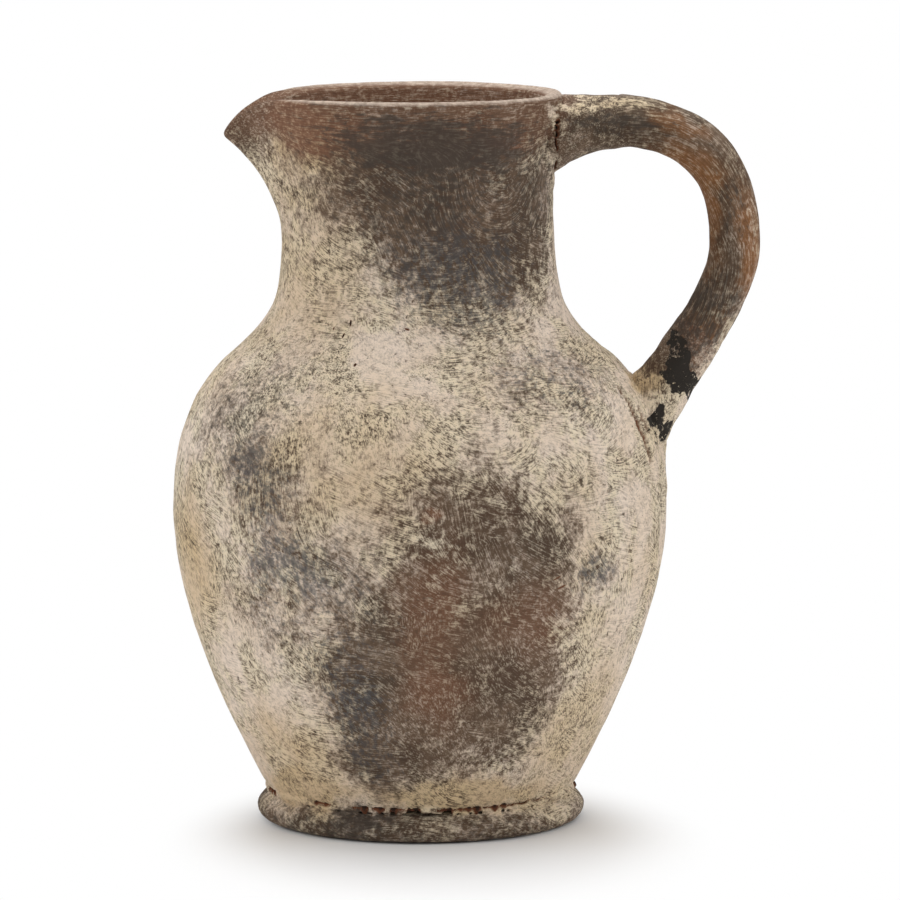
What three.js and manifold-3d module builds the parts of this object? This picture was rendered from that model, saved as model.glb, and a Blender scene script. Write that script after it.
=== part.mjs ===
// A hand-thrown clay jug with a pinched pouring beak and a pulled handle.
// Millimetres, +Z up. The origin is on the axis of the body, on the plane the jug stands on.
// The handle is towards +X and the beak towards -X.
import * as THREE from "three";
import { mergeVertices } from "three/addons/utils/BufferGeometryUtils.js";
import Module from "manifold-3d";

const wasm = await Module();
wasm.setup();

// Joints between the clay pieces
const LUTING_GAP = 0.3;

// Pad that is foot and floor in one
const PAD_HEIGHT = 11.6;
const CREASE_BEVEL = 1.8;
const PAD_FACE_RADIUS = 57.4;
const PAD_BULGE_RADIUS = 60.2;
const PAD_BULGE_HEIGHT = 4.6;
const PAD_CREASE_RADIUS = 57.4;

// Thrown wall, outside, from the seat up
const SEAT_RADIUS = 57.6;
const SEAT_FLARE = 62;
const BELLY_RADIUS = 91.6;
const BELLY_HEIGHT = 118.8;
const BELLY_LOWER_FULLNESS = 37.6;
const BELLY_UPPER_FULLNESS = 26.8;
const SHOULDER_RADIUS = 68.7;
const SHOULDER_HEIGHT = 173.9;
const SHOULDER_SLOPE = 38;
const NECK_RADIUS = 49.8;
const NECK_HEIGHT = 218.7;
const LIP_RADIUS = 56.9;
const RIM_HEIGHT = 270;
const LIP_FLARE = 74;

// Wall thickness and the rounded lip
const SEAT_THICKNESS = 9;
const BELLY_THICKNESS = 7;
const NECK_THICKNESS = 6;
const LIP_BAND_HEIGHT = 3.4;
const LIP_BAND_STEP = 0.8;
const LIP_INSET = 5.3;
const LIP_INNER_DROP = 0.7;

// Mouth drawn towards the beak, and the pinched beak itself
const MOUTH_LEAN = 4.4;
const NECK_LEAN = 0.6;
const BEAK_REACH = 71.6;
const BEAK_EDGE_HEIGHT = 254.2;
const BEAK_ROOT_SLOPE = 82;
const BEAK_ROOT_RISE = 13;
const BEAK_UNDER_SLOPE = 35;
const BEAK_UNDER_LENGTH = 13;
const BEAK_HALF_ANGLE = 9;
const BEAK_ROOT_HALF_ANGLE = 22;
const CHANNEL_HALF_ANGLE = 6.5;
const CHANNEL_ROOT_HALF_ANGLE = 18;
const BEAK_DROOP_ANGLE = 6;
const BEAK_DROOP_FADE = 0.75;
const PINCH_DEPTH = 2.6;
const PINCH_ANGLE = 32;
const PINCH_SPREAD = 15;

// Pulled handle: its spine, and its oval section
const HANDLE_TOP_DROP = 10.6;
const HANDLE_TOP_RISE = 3;
const HANDLE_TOP_LENGTH = 27.2;
const FINGER_GAP = 55.8;
const HANDLE_BEND_HEIGHT = 215;
const HANDLE_BEND_RISE = 46;
const HANDLE_BEND_FALL = 19.2;
const HANDLE_FOOT_HEIGHT = 151;
const HANDLE_FOOT_SLOPE = 61.5;
const HANDLE_FOOT_LENGTH = 26;
const HANDLE_THICKNESS = 19.6;
const HANDLE_WIDTH = 24;
const ROOT_FLARE_UNDER = 9;
const ROOT_FLARE_SIDE = 3;
const ROOT_FLARE_LENGTH = 10;
const FOOT_FLARE_UNDER = 7;
const FOOT_FLARE_SIDE = 4;
const FOOT_FLARE_LENGTH = 15;
const HANDLE_EMBED = 12;
const HANDLE_FOOT_EMBED = 19.2;

// Luting clay
const UPPER_LUTING_THICKNESS = 4;
const UPPER_LUTING_TOP = 0.9;
const UPPER_LUTING_LENGTH = 8;
const LOWER_LUTING_BACK = 1;
const LOWER_LUTING_THICKNESS = 3.5;
const LOWER_LUTING_SPREAD = 10;
const LOWER_LUTING_LENGTH = 20;
const BEAD_RADIUS = 2.5;
const FLOOR_LUTING_RADIUS = 7;

// Share of its height that a profile curve is pulled along its end directions
const EVEN_PULL = 0.3;
const NECK_LOWER_PULL = 0.44;
const NECK_UPPER_PULL = 0.56;

// Facets
const AZIMUTH_STEPS = 56;
const AZIMUTH_CROWDING = 0.55;
const LOWER_BELLY_RINGS = 8;
const UPPER_BELLY_RINGS = 5;
const NECK_SWEEP_RINGS = 5;
const MOUTH_RINGS = 8;
const PAD_EDGE_STEPS = 4;
const BEAD_SIDES = 8;
const FLOOR_LUTING_SIDES = 10;
const HANDLE_SIDES = 18;
const HANDLE_STEPS = 34;
const UPPER_LUTING_STEPS = 8;
const LOWER_LUTING_STEPS = 10;
const REACH_SAMPLES = 40;
const MERGE_DISTANCE = 1e-4;

const radians = THREE.MathUtils.degToRad;
const vec2 = (x, y) => new THREE.Vector2(x, y);
const bump = (value, width) => Math.exp(-((value / width) ** 2));

/** A curve in the radius and height plane, from two ends, their directions and their pulls. */
function profileCurve(start, startAngle, startPull, end, endAngle, endPull) {
  const leave = vec2(Math.cos(radians(startAngle)), Math.sin(radians(startAngle)));
  const arrive = vec2(Math.cos(radians(endAngle)), Math.sin(radians(endAngle)));
  return new THREE.CubicBezierCurve(
    start,
    start.clone().addScaledVector(leave, startPull),
    end.clone().addScaledVector(arrive, -endPull),
    end,
  );
}

// Outside of the thrown wall

const SEAT_HEIGHT = PAD_HEIGHT + LUTING_GAP;
const bellyPoint = vec2(BELLY_RADIUS, BELLY_HEIGHT);
const shoulderPoint = vec2(SHOULDER_RADIUS, SHOULDER_HEIGHT);
const neckPoint = vec2(NECK_RADIUS, NECK_HEIGHT);
const lowerBelly = profileCurve(
  vec2(SEAT_RADIUS, SEAT_HEIGHT + CREASE_BEVEL), SEAT_FLARE, (BELLY_HEIGHT - SEAT_HEIGHT) * EVEN_PULL,
  bellyPoint, 90, BELLY_LOWER_FULLNESS,
);
const upperBelly = profileCurve(
  bellyPoint, 90, BELLY_UPPER_FULLNESS,
  shoulderPoint, 180 - SHOULDER_SLOPE, (SHOULDER_HEIGHT - BELLY_HEIGHT) * EVEN_PULL,
);
const neckSweep = profileCurve(
  shoulderPoint, 180 - SHOULDER_SLOPE, (NECK_HEIGHT - SHOULDER_HEIGHT) * NECK_LOWER_PULL,
  neckPoint, 90, (NECK_HEIGHT - SHOULDER_HEIGHT) * NECK_UPPER_PULL,
);

const LIP_CREASE_HEIGHT = RIM_HEIGHT - LIP_BAND_HEIGHT;
const plainNeckPull = (LIP_CREASE_HEIGHT - NECK_HEIGHT) * EVEN_PULL;
const plainNeck = profileCurve(
  neckPoint, 90, plainNeckPull,
  vec2(LIP_RADIUS - LIP_BAND_STEP, LIP_CREASE_HEIGHT), LIP_FLARE, plainNeckPull,
);
const beakCreaseHeight = BEAK_EDGE_HEIGHT - LIP_BAND_HEIGHT / 2;
const beakNeck = profileCurve(
  neckPoint, BEAK_ROOT_SLOPE, BEAK_ROOT_RISE,
  vec2(BEAK_REACH - MOUTH_LEAN - LIP_BAND_STEP, beakCreaseHeight), BEAK_UNDER_SLOPE, BEAK_UNDER_LENGTH,
);

/** Azimuths of one ring, from the beak round and back, crowded near the beak. */
const azimuths = Array.from({ length: AZIMUTH_STEPS }, (_, index) => {
  const turn = (2 * Math.PI * index) / AZIMUTH_STEPS;
  return turn - AZIMUTH_CROWDING * Math.sin(turn);
});

/** Signed degrees from the middle of the beak. */
function fromBeak(azimuth) {
  const degrees = THREE.MathUtils.radToDeg(azimuth);
  return degrees > 180 ? degrees - 360 : degrees;
}

function ringPoint(radius, height, azimuth, lean) {
  return new THREE.Vector3(
    -radius * Math.cos(azimuth) - lean,
    -radius * Math.sin(azimuth),
    height,
  );
}

/**
 * A point of the neck and mouth. Rise runs from 0 at the neck to 1 at the crease under the lip.
 * The outside has no inset; the inside is set in from it, with a beak as wide as the pouring channel.
 */
function mouthPoint(azimuth, rise, inset = 0, lipUp = 0, inside = false) {
  const plain = plainNeck.getPoint(rise);
  const beak = beakNeck.getPoint(rise);
  const angle = fromBeak(azimuth);
  const eased = rise * rise * (3 - 2 * rise);
  const halfAngle = inside
    ? THREE.MathUtils.lerp(CHANNEL_ROOT_HALF_ANGLE, CHANNEL_HALF_ANGLE, eased)
    : THREE.MathUtils.lerp(BEAK_ROOT_HALF_ANGLE, BEAK_HALF_ANGLE, eased);
  const drawn = bump(angle, halfAngle);
  const drooped = (1 + (angle / BEAK_DROOP_ANGLE) ** 2) ** -BEAK_DROOP_FADE;
  const pinched = PINCH_DEPTH * eased * bump(Math.abs(angle) - PINCH_ANGLE, PINCH_SPREAD);
  const radius = THREE.MathUtils.lerp(plain.x, beak.x, drawn) - pinched - inset;
  const height = THREE.MathUtils.lerp(plain.y, beak.y, drooped) + lipUp;
  const lean = NECK_LEAN + MOUTH_LEAN * eased;
  return ringPoint(radius, height, azimuth, lean);
}

const ringOf = (pointAt) => azimuths.map((azimuth) => pointAt(azimuth));

/** Rings up one curve of revolution, leaving out its last point. */
function turnedRings(curve, count) {
  return Array.from({ length: count }, (_, index) => {
    const point = curve.getPoint(index / count);
    const lean = NECK_LEAN * THREE.MathUtils.smoothstep(point.y, BELLY_HEIGHT, NECK_HEIGHT);
    return ringOf((azimuth) => ringPoint(point.x, point.y, azimuth, lean));
  });
}

const mouthRises = Array.from({ length: MOUTH_RINGS }, (_, index) => index / (MOUTH_RINGS - 1));
const mouthRings = mouthRises.map((rise) => ringOf((azimuth) => mouthPoint(azimuth, rise)));

/** The lip band steps out over the crease and rounds over to the crest: shares of its inset and height. */
const lipRound = [
  [0, 0.25],
  [0, 0.6],
  [0.17, 0.92],
  [0.51, 1],
];
const lipRings = lipRound.map(([inShare, upShare]) => {
  const inset = inShare * LIP_INSET - LIP_BAND_STEP;
  return ringOf((azimuth) => mouthPoint(azimuth, 1, inset, upShare * LIP_BAND_HEIGHT));
});

const seatRing = ringOf((azimuth) => ringPoint(SEAT_RADIUS - CREASE_BEVEL, SEAT_HEIGHT, azimuth, 0));
const outerRings = [
  seatRing,
  ...turnedRings(lowerBelly, LOWER_BELLY_RINGS),
  ...turnedRings(upperBelly, UPPER_BELLY_RINGS),
  ...turnedRings(neckSweep, NECK_SWEEP_RINGS),
  ...mouthRings,
  ...lipRings,
];

// Solids from rings of points

/** Normals of a grid of rings; closed says that the last ring joins the first. */
function gridNormals(rings, closed) {
  const last = rings.length - 1;
  return rings.map((ring, row) => {
    const below = rings[row === 0 ? (closed ? last : 0) : row - 1];
    const above = rings[row === last ? (closed ? 0 : last) : row + 1];
    return ring.map((_, column) => {
      const next = ring[(column + 1) % ring.length];
      const previous = ring[(column + ring.length - 1) % ring.length];
      const along = new THREE.Vector3().subVectors(above[column], below[column]);
      const around = new THREE.Vector3().subVectors(next, previous);
      return around.cross(along).normalize();
    });
  });
}

function offsetRings(rings, closed, distance) {
  const normals = gridNormals(rings, closed);
  return rings.map((ring, row) =>
    ring.map((point, column) => point.clone().addScaledVector(normals[row][column], distance)),
  );
}

/** A solid skinned over rings of points: a closed loop of rings, or a stack with flat ends. */
function skin(rings, closed) {
  const sides = rings[0].length;
  const points = rings.flat();
  const faces = [];
  const spans = closed ? rings.length : rings.length - 1;
  for (let row = 0; row < spans; row += 1) {
    for (let column = 0; column < sides; column += 1) {
      const next = (column + 1) % sides;
      const upper = (row + 1) % rings.length;
      const a = row * sides + column;
      const b = row * sides + next;
      const c = upper * sides + next;
      const d = upper * sides + column;
      faces.push(a, b, c, a, c, d);
    }
  }
  if (!closed) {
    const capEnd = (ring, firstIndex, flipped) => {
      const middle = ring.reduce((sum, point) => sum.add(point), new THREE.Vector3());
      points.push(middle.divideScalar(sides));
      for (let column = 0; column < sides; column += 1) {
        const here = firstIndex + column;
        const next = firstIndex + ((column + 1) % sides);
        faces.push(...(flipped ? [next, here, points.length - 1] : [here, next, points.length - 1]));
      }
    };
    capEnd(rings[0], 0, true);
    capEnd(rings[rings.length - 1], (rings.length - 1) * sides, false);
  }
  const geometry = new THREE.BufferGeometry();
  geometry.setAttribute("position", new THREE.Float32BufferAttribute(points.flatMap((p) => p.toArray()), 3));
  geometry.setIndex(faces);
  return geometry;
}

function toSolid(geometry) {
  const bare = geometry.clone();
  bare.deleteAttribute("normal");
  bare.deleteAttribute("uv");
  const merged = mergeVertices(bare, MERGE_DISTANCE);
  return new wasm.Manifold(
    new wasm.Mesh({
      numProp: 3,
      vertProperties: new Float32Array(merged.attributes.position.array),
      triVerts: new Uint32Array(merged.index.array),
    }),
  );
}

function toGeometry(solid) {
  const mesh = solid.getMesh();
  const geometry = new THREE.BufferGeometry();
  geometry.setAttribute("position", new THREE.BufferAttribute(new Float32Array(mesh.vertProperties), 3));
  geometry.setIndex(new THREE.BufferAttribute(new Uint32Array(mesh.triVerts), 1));
  return geometry;
}

// Thrown wall: outside, lip, inside and seat as one closed loop of rings

/** Wall thickness along the rings from the seat to the neck. */
function wallThickness(height) {
  const toBelly = THREE.MathUtils.smoothstep(height, SEAT_HEIGHT, BELLY_HEIGHT / 2);
  const toNeck = THREE.MathUtils.smoothstep(height, BELLY_HEIGHT, NECK_HEIGHT);
  const lower = THREE.MathUtils.lerp(SEAT_THICKNESS, BELLY_THICKNESS, toBelly);
  return THREE.MathUtils.lerp(lower, NECK_THICKNESS, toNeck);
}

const bodyRows = outerRings.length - mouthRings.length - lipRings.length;
const outsideNormals = gridNormals(outerRings, false);
const innerBodyRings = outerRings.slice(0, bodyRows).map((ring, row) =>
  ring.map((point, column) =>
    point.clone().addScaledVector(outsideNormals[row][column], -wallThickness(point.z)),
  ),
);
innerBodyRings[0].forEach((point) => {
  point.z = SEAT_HEIGHT;
});
const innerMouthRings = mouthRises.map((rise) =>
  ringOf((azimuth) => mouthPoint(azimuth, rise, NECK_THICKNESS, 0, true)),
);
const innerLipRing = ringOf((azimuth) =>
  mouthPoint(azimuth, 1, LIP_INSET, LIP_BAND_HEIGHT - LIP_INNER_DROP, true),
);
const insideUp = [...innerBodyRings, ...innerMouthRings, innerLipRing];
const wallRings = [...outerRings, ...insideUp.reverse()];
const wallSolid = toSolid(skin(wallRings, true));
const grownWall = toSolid(skin(offsetRings(wallRings, true, LUTING_GAP), true));

/** The wall with its hollow filled and a stack above its mouth, grown by the luting gap. */
const stackTop = RIM_HEIGHT + HANDLE_THICKNESS;
const grownOuter = offsetRings(outerRings, false, LUTING_GAP);
const stackRing = grownOuter[grownOuter.length - 1].map((point) =>
  point.clone().setZ(stackTop),
);
const filledWall = toSolid(skin([...grownOuter, stackRing], false));

// Pad

function padProfile(grow) {
  const top = PAD_HEIGHT + grow;
  const bulge = PAD_BULGE_RADIUS + grow;
  const shoulder = PAD_HEIGHT - CREASE_BEVEL;
  const lowerEdge = new THREE.QuadraticBezierCurve(
    vec2(PAD_FACE_RADIUS + grow, -grow), vec2(bulge, -grow), vec2(bulge, PAD_BULGE_HEIGHT),
  );
  const upperEdge = new THREE.QuadraticBezierCurve(
    vec2(bulge, PAD_BULGE_HEIGHT), vec2(bulge, shoulder), vec2(PAD_CREASE_RADIUS + grow, shoulder + grow),
  );
  return [
    vec2(0, -grow),
    ...lowerEdge.getPoints(PAD_EDGE_STEPS),
    ...upperEdge.getPoints(PAD_EDGE_STEPS).slice(1),
    vec2(PAD_CREASE_RADIUS - CREASE_BEVEL + grow, top),
    vec2(0, top),
  ];
}

const upright = (geometry) => geometry.rotateX(Math.PI / 2);
const turned = (profile) => upright(new THREE.LatheGeometry(profile, AZIMUTH_STEPS));

const padGeometry = turned(padProfile(0));
const grownPad = toSolid(turned(padProfile(LUTING_GAP)));

/** A ring of clay of round section, before its neighbours are cut away. */
function clayRing(radius, height, sectionRadius, sides) {
  const profile = Array.from({ length: sides + 1 }, (_, index) => {
    const turn = (2 * Math.PI * index) / sides;
    return vec2(radius + sectionRadius * Math.cos(turn), height + sectionRadius * Math.sin(turn));
  });
  return toSolid(turned(profile));
}

const beadCentre = Math.min(PAD_CREASE_RADIUS, SEAT_RADIUS) - CREASE_BEVEL;
const beadRing = clayRing(beadCentre, PAD_HEIGHT + LUTING_GAP / 2, BEAD_RADIUS, BEAD_SIDES);
const beadSolid = beadRing.subtract(grownPad).subtract(filledWall);
const floorCorner = SEAT_RADIUS - SEAT_THICKNESS;
const floorRing = clayRing(floorCorner, PAD_HEIGHT, FLOOR_LUTING_RADIUS, FLOOR_LUTING_SIDES);
const floorLutingSolid = floorRing.subtract(grownPad).subtract(grownWall);

// Handle

/** Outside radius of the plain wall on the handle's side at one height. */
function wallReach(height) {
  const curves = [lowerBelly, upperBelly, neckSweep, plainNeck];
  const points = curves.flatMap((curve) => curve.getPoints(REACH_SAMPLES));
  const above = points.findIndex((point) => point.y >= height);
  const a = points[above - 1];
  const b = points[above];
  return THREE.MathUtils.lerp(a.x, b.x, (height - a.y) / (b.y - a.y));
}

const spineTopHeight = RIM_HEIGHT - HANDLE_TOP_DROP;
const spineTop = vec2(wallReach(spineTopHeight) - MOUTH_LEAN, spineTopHeight);
const spineBend = vec2(NECK_RADIUS + FINGER_GAP + HANDLE_THICKNESS / 2, HANDLE_BEND_HEIGHT);
const spineFoot = vec2(wallReach(HANDLE_FOOT_HEIGHT), HANDLE_FOOT_HEIGHT);
const topDirection = vec2(Math.cos(radians(HANDLE_TOP_RISE)), Math.sin(radians(HANDLE_TOP_RISE)));
const footDirection = vec2(-Math.cos(radians(HANDLE_FOOT_SLOPE)), -Math.sin(radians(HANDLE_FOOT_SLOPE)));

const inPlane = (point) => new THREE.Vector3(point.x, 0, point.y);
const spine = new THREE.CurvePath();
spine.add(new THREE.LineCurve3(
  inPlane(spineTop.clone().addScaledVector(topDirection, -HANDLE_EMBED)),
  inPlane(spineTop),
));
spine.add(new THREE.CubicBezierCurve3(
  inPlane(spineTop),
  inPlane(spineTop.clone().addScaledVector(topDirection, HANDLE_TOP_LENGTH)),
  inPlane(spineBend.clone().add(vec2(0, HANDLE_BEND_RISE))),
  inPlane(spineBend),
));
spine.add(new THREE.CubicBezierCurve3(
  inPlane(spineBend),
  inPlane(spineBend.clone().sub(vec2(0, HANDLE_BEND_FALL))),
  inPlane(spineFoot.clone().addScaledVector(footDirection, -HANDLE_FOOT_LENGTH)),
  inPlane(spineFoot),
));
spine.add(new THREE.LineCurve3(
  inPlane(spineFoot),
  inPlane(spineFoot.clone().addScaledVector(footDirection, HANDLE_FOOT_EMBED)),
));
const spineLength = spine.getLength();

/** Half sizes of the handle's section at a distance from where it leaves the neck. */
function handleSection(distance) {
  const rootDistance = Math.max(0, distance - HANDLE_EMBED);
  const footDistance = Math.max(0, spineLength - HANDLE_FOOT_EMBED - distance);
  const root = Math.exp(-rootDistance / ROOT_FLARE_LENGTH);
  const foot = Math.exp(-footDistance / FOOT_FLARE_LENGTH);
  return {
    over: HANDLE_THICKNESS / 2,
    under: HANDLE_THICKNESS / 2 + ROOT_FLARE_UNDER * root + FOOT_FLARE_UNDER * foot,
    side: HANDLE_WIDTH / 2 + ROOT_FLARE_SIDE * root + FOOT_FLARE_SIDE * foot,
  };
}

/** One ring of the handle, or of clay round it, square to the spine. */
function spineRing(distance, section) {
  const share = THREE.MathUtils.clamp(distance / spineLength, 0, 1);
  const centre = spine.getPointAt(share);
  const tangent = spine.getTangentAt(share);
  const outward = new THREE.Vector3(-tangent.z, 0, tangent.x);
  return Array.from({ length: HANDLE_SIDES }, (_, index) => {
    const turn = (2 * Math.PI * index) / HANDLE_SIDES;
    const lift = Math.cos(turn);
    const point = centre.clone();
    point.addScaledVector(outward, lift * (lift > 0 ? section.over : section.under));
    point.y -= section.side * Math.sin(turn);
    return point;
  });
}

function spineSkin(from, to, steps, sectionAt) {
  const rings = Array.from({ length: steps + 1 }, (_, index) => {
    const distance = THREE.MathUtils.lerp(from, to, index / steps);
    return spineRing(distance, sectionAt(distance));
  });
  return toSolid(skin(rings, false));
}

function grownSection(section, grow) {
  return { over: section.over + grow, under: section.under + grow, side: section.side + grow };
}

const handleRod = spineSkin(0, spineLength, HANDLE_STEPS, handleSection);
const handleSolid = handleRod.subtract(filledWall);
const grownHandle = spineSkin(0, spineLength, HANDLE_STEPS, (distance) =>
  grownSection(handleSection(distance), LUTING_GAP),
);

/** Upper luting: a collar round the handle's root, thin on top so that it stays level with the lip. */
const upperEnd = HANDLE_EMBED + UPPER_LUTING_LENGTH;
const upperCollar = spineSkin(0, upperEnd, UPPER_LUTING_STEPS, (distance) => {
  const fade = 1 - Math.max(0, distance - HANDLE_EMBED) / UPPER_LUTING_LENGTH;
  const section = handleSection(distance);
  return {
    over: section.over + UPPER_LUTING_TOP * fade,
    under: section.under + UPPER_LUTING_THICKNESS * fade,
    side: section.side + UPPER_LUTING_THICKNESS * fade,
  };
});
const upperLutingSolid = upperCollar.subtract(filledWall).subtract(grownHandle);

/** Lower luting: a fan of clay, much wider than it is deep, that feathers out along the handle. */
const lowerStart = spineLength - HANDLE_FOOT_EMBED - LOWER_LUTING_LENGTH;
const lowerFan = spineSkin(lowerStart, spineLength, LOWER_LUTING_STEPS, (distance) => {
  const share = THREE.MathUtils.clamp((distance - lowerStart) / LOWER_LUTING_LENGTH, 0, 1) ** 2;
  const section = handleSection(distance);
  return {
    over: section.over + LOWER_LUTING_BACK * share,
    under: section.under + LOWER_LUTING_THICKNESS * share,
    side: section.side + LOWER_LUTING_SPREAD * share,
  };
});
const lowerLutingSolid = lowerFan.subtract(filledWall).subtract(grownHandle);

// Finished jug

function clay(color, roughness) {
  return new THREE.MeshStandardMaterial({ color, roughness, metalness: 0 });
}

function piece(name, geometry, material) {
  const mesh = new THREE.Mesh(geometry, material);
  mesh.name = name;
  return mesh;
}

const jug = new THREE.Group();
jug.add(piece("base_pad", padGeometry, clay(0x6e5c4e, 0.92)));
jug.add(piece("body_wall", toGeometry(wallSolid), clay(0x9d8e7a, 0.9)));
jug.add(piece("handle", toGeometry(handleSolid), clay(0x5f5248, 0.88)));
jug.add(piece("upper_luting", toGeometry(upperLutingSolid), clay(0xa5988a, 0.92)));
jug.add(piece("lower_luting", toGeometry(lowerLutingSolid), clay(0xb0a28c, 0.92)));
jug.add(piece("base_luting_bead", toGeometry(beadSolid), clay(0x54382c, 0.95)));
jug.add(piece("inner_base_luting", toGeometry(floorLutingSolid), clay(0x7a6858, 0.95)));

export default jug;
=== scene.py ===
"""Looks of the hand-thrown clay jug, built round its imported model. Metres, +Z up."""
import math
import random

import bpy
from bpy.props import FloatProperty, FloatVectorProperty, IntProperty, PointerProperty
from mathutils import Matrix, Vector
from mathutils.bvhtree import BVHTree
from mathutils.kdtree import KDTree


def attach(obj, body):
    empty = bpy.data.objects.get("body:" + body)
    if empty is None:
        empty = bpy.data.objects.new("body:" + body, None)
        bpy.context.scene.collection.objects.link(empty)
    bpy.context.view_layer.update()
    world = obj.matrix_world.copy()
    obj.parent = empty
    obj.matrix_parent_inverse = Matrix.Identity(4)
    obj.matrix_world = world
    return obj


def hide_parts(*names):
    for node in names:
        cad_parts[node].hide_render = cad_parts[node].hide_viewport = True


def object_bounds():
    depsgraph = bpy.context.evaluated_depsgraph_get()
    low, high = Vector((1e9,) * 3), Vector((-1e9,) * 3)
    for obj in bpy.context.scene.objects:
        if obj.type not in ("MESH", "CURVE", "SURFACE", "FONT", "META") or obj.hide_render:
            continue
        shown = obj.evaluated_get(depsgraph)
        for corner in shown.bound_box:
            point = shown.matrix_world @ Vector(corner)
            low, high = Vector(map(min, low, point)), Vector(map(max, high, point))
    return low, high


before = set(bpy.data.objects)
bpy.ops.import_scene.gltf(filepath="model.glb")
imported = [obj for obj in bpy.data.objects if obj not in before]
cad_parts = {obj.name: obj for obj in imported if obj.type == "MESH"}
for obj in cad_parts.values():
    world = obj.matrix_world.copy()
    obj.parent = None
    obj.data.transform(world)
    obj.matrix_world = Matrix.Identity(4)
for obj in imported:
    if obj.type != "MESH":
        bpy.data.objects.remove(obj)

CAD_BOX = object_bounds()

bl_info = {
    "name": "Hand-thrown clay jug",
    "version": (1, 0, 0),
    "blender": (4, 5, 0),
    "location": "3D View > Sidebar > Jug",
    "description": "Dresses the jug: thrown wall, pad foot, pulled handle, luting clay, slip and soot",
    "category": "Object",
}

BODY = "root"
MM = 0.001
MERGE_DISTANCE = 0.00001

# Names of the values that the meshes store for their materials
INSIDE = "inside"
HANDLE_SHARE = "handle_share"
HANDLE_PLACE = "along_handle"
CRACK = "crack"

# Height of the highest point of the lip, and how far down from it the lip's rounding goes
RIM_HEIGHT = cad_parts["body_wall"].bound_box[6][2]
LIP_DEPTH = 0.004

# Spine of the pulled handle, in the plane through the beak: reach from the axis, and height
ROOT_HEIGHT = 0.2594
ROOT_RISE = math.radians(3)
ROOT_PULL = 0.0272
BEND_POINT = (0.1158, 0.215)
BEND_RISE = 0.046
BEND_FALL = 0.0192
FOOT_HEIGHT = 0.151
FOOT_SLOPE = math.radians(61.5)
FOOT_PULL = 0.026
ROOT_EMBED = 0.0045
FOOT_EMBED = 0.0192

# How far the handle's section grows downward and sideways at both ends, and over what length
ROOT_FLARE = {"under": 0.009, "side": 0.0085, "length": 0.010}
FOOT_FLARE = {"under": 0.0045, "side": 0.004, "length": 0.015}

# Heights between which the slip is wiped off under the lip, the jug turns darker towards the bottom, and
# a pale line is laid along the lip's crest, partly rubbed wear and partly a painted highlight
WIPED_BAND = (0.24, 0.262)
BOTTOM_DARKENING_BAND = (0.0122, 0.006)
CREST_HIGHLIGHT_BAND = (RIM_HEIGHT - 0.0019, RIM_HEIGHT - 0.0006)


def paint(red, green, blue):
    """A colour written as it shows, from 0 to 255, as the linear colour that a shader takes."""
    def linear(value):
        share = value / 255
        return share / 12.92 if share <= 0.04045 else ((share + 0.055) / 1.055) ** 2.4
    return (linear(red), linear(green), linear(blue))


# Sizes and colours that a user would change

def length(name, description, default):
    return FloatProperty(
        name=name, description=description, default=default, min=0, precision=5, unit="LENGTH")


def colour(name, description, *tone):
    return FloatVectorProperty(
        name=name, description=description, default=paint(*tone), size=3, min=0, max=1, subtype="COLOR")


def share(name, description, default):
    return FloatProperty(
        name=name, description=description, default=default, min=0, max=1, subtype="FACTOR")


class JugShape(bpy.types.PropertyGroup):
    wall_rounds: IntProperty(
        name="Wall rounds", description="How often the wall's facets are rounded",
        default=2, min=1, max=2)
    throwing_depth: length("Throwing depth", "Depth of the rings that the fingers left outside", 0.0004)
    inner_throwing_depth: length("Inner throwing depth", "Depth of the rings left inside", 0.0012)
    unevenness: length("Unevenness", "How far the hand-made walls stray from round", 0.0008)
    brush_relief: length("Brush relief", "Height of the slip's brush strokes", 0.0003)
    handle_width: length("Handle width", "Across the pulled handle, side to side", 0.0236)
    handle_thickness: length("Handle thickness", "Across the pulled handle, top to underside", 0.0192)
    joint_grain: length(
        "Joint grain", "Size of the facets that the luting clay is smoothed from", 0.0006)


class JugColours(bpy.types.PropertyGroup):
    cream: colour("Cream slip", "The rubbed slip over most of the jug", 226, 212, 187)
    # Pink also makes the pale line along the lip's crest, partly rubbed wear and partly a painted
    # highlight
    pink: colour("Pinkish slip", "The slip where it is thickest", 230, 213, 196)
    ochre: colour("Ochre slip", "The slip stained yellow near the foot and the joints", 202, 174, 130)
    umber: colour("Umber clay", "The fired clay where no slip is left", 104, 85, 68)
    dark: colour("Dark clay", "The clay's darker clouds", 70, 56, 45)
    rust: colour("Rust clay", "The clay where it fired red", 120, 84, 63)
    handle_rust: colour("Orange clay", "The handle's clay where it fired red", 132, 90, 56)
    soot: colour("Soot", "Fire clouds rubbed over slip and clay", 62, 55, 49)
    slate: colour("Slate soot", "Fire clouds that turned blue-grey", 72, 73, 76)
    flake: colour("Scorched flakes", "Black skin burnt on to the handle's foot", 44, 39, 34)
    # The floors of cracks, pits and the slot are darkened to this near-black as painted shade
    crack: colour("Cracks", "Deep inside pits and cracks", 34, 22, 16)
    crack_edge: colour("Crack edges", "The rims of pits and cracks", 108, 66, 44)


class JugBrush(bpy.types.PropertyGroup):
    grain_length: length("Grain length", "Length of the finest marks in the slip", 0.0012)
    grain_width: length("Grain width", "Width of the finest marks in the slip", 0.0006)
    hatch_length: length("Hatch length", "Length of the marks of one bristle", 0.0082)
    hatch_width: length("Hatch width", "Width of the marks of one bristle", 0.0005)
    blot_length: length("Blot length", "Length of the dabs of slip and soot", 0.0034)
    blot_width: length("Blot width", "Width of the dabs of slip and soot", 0.0018)
    patch_size: length("Patch size", "Size of a patch of strokes that lie one way", 0.017)
    softness: share("Softness", "How softly a stroke's edge fades into the clay", 0.85)


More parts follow.
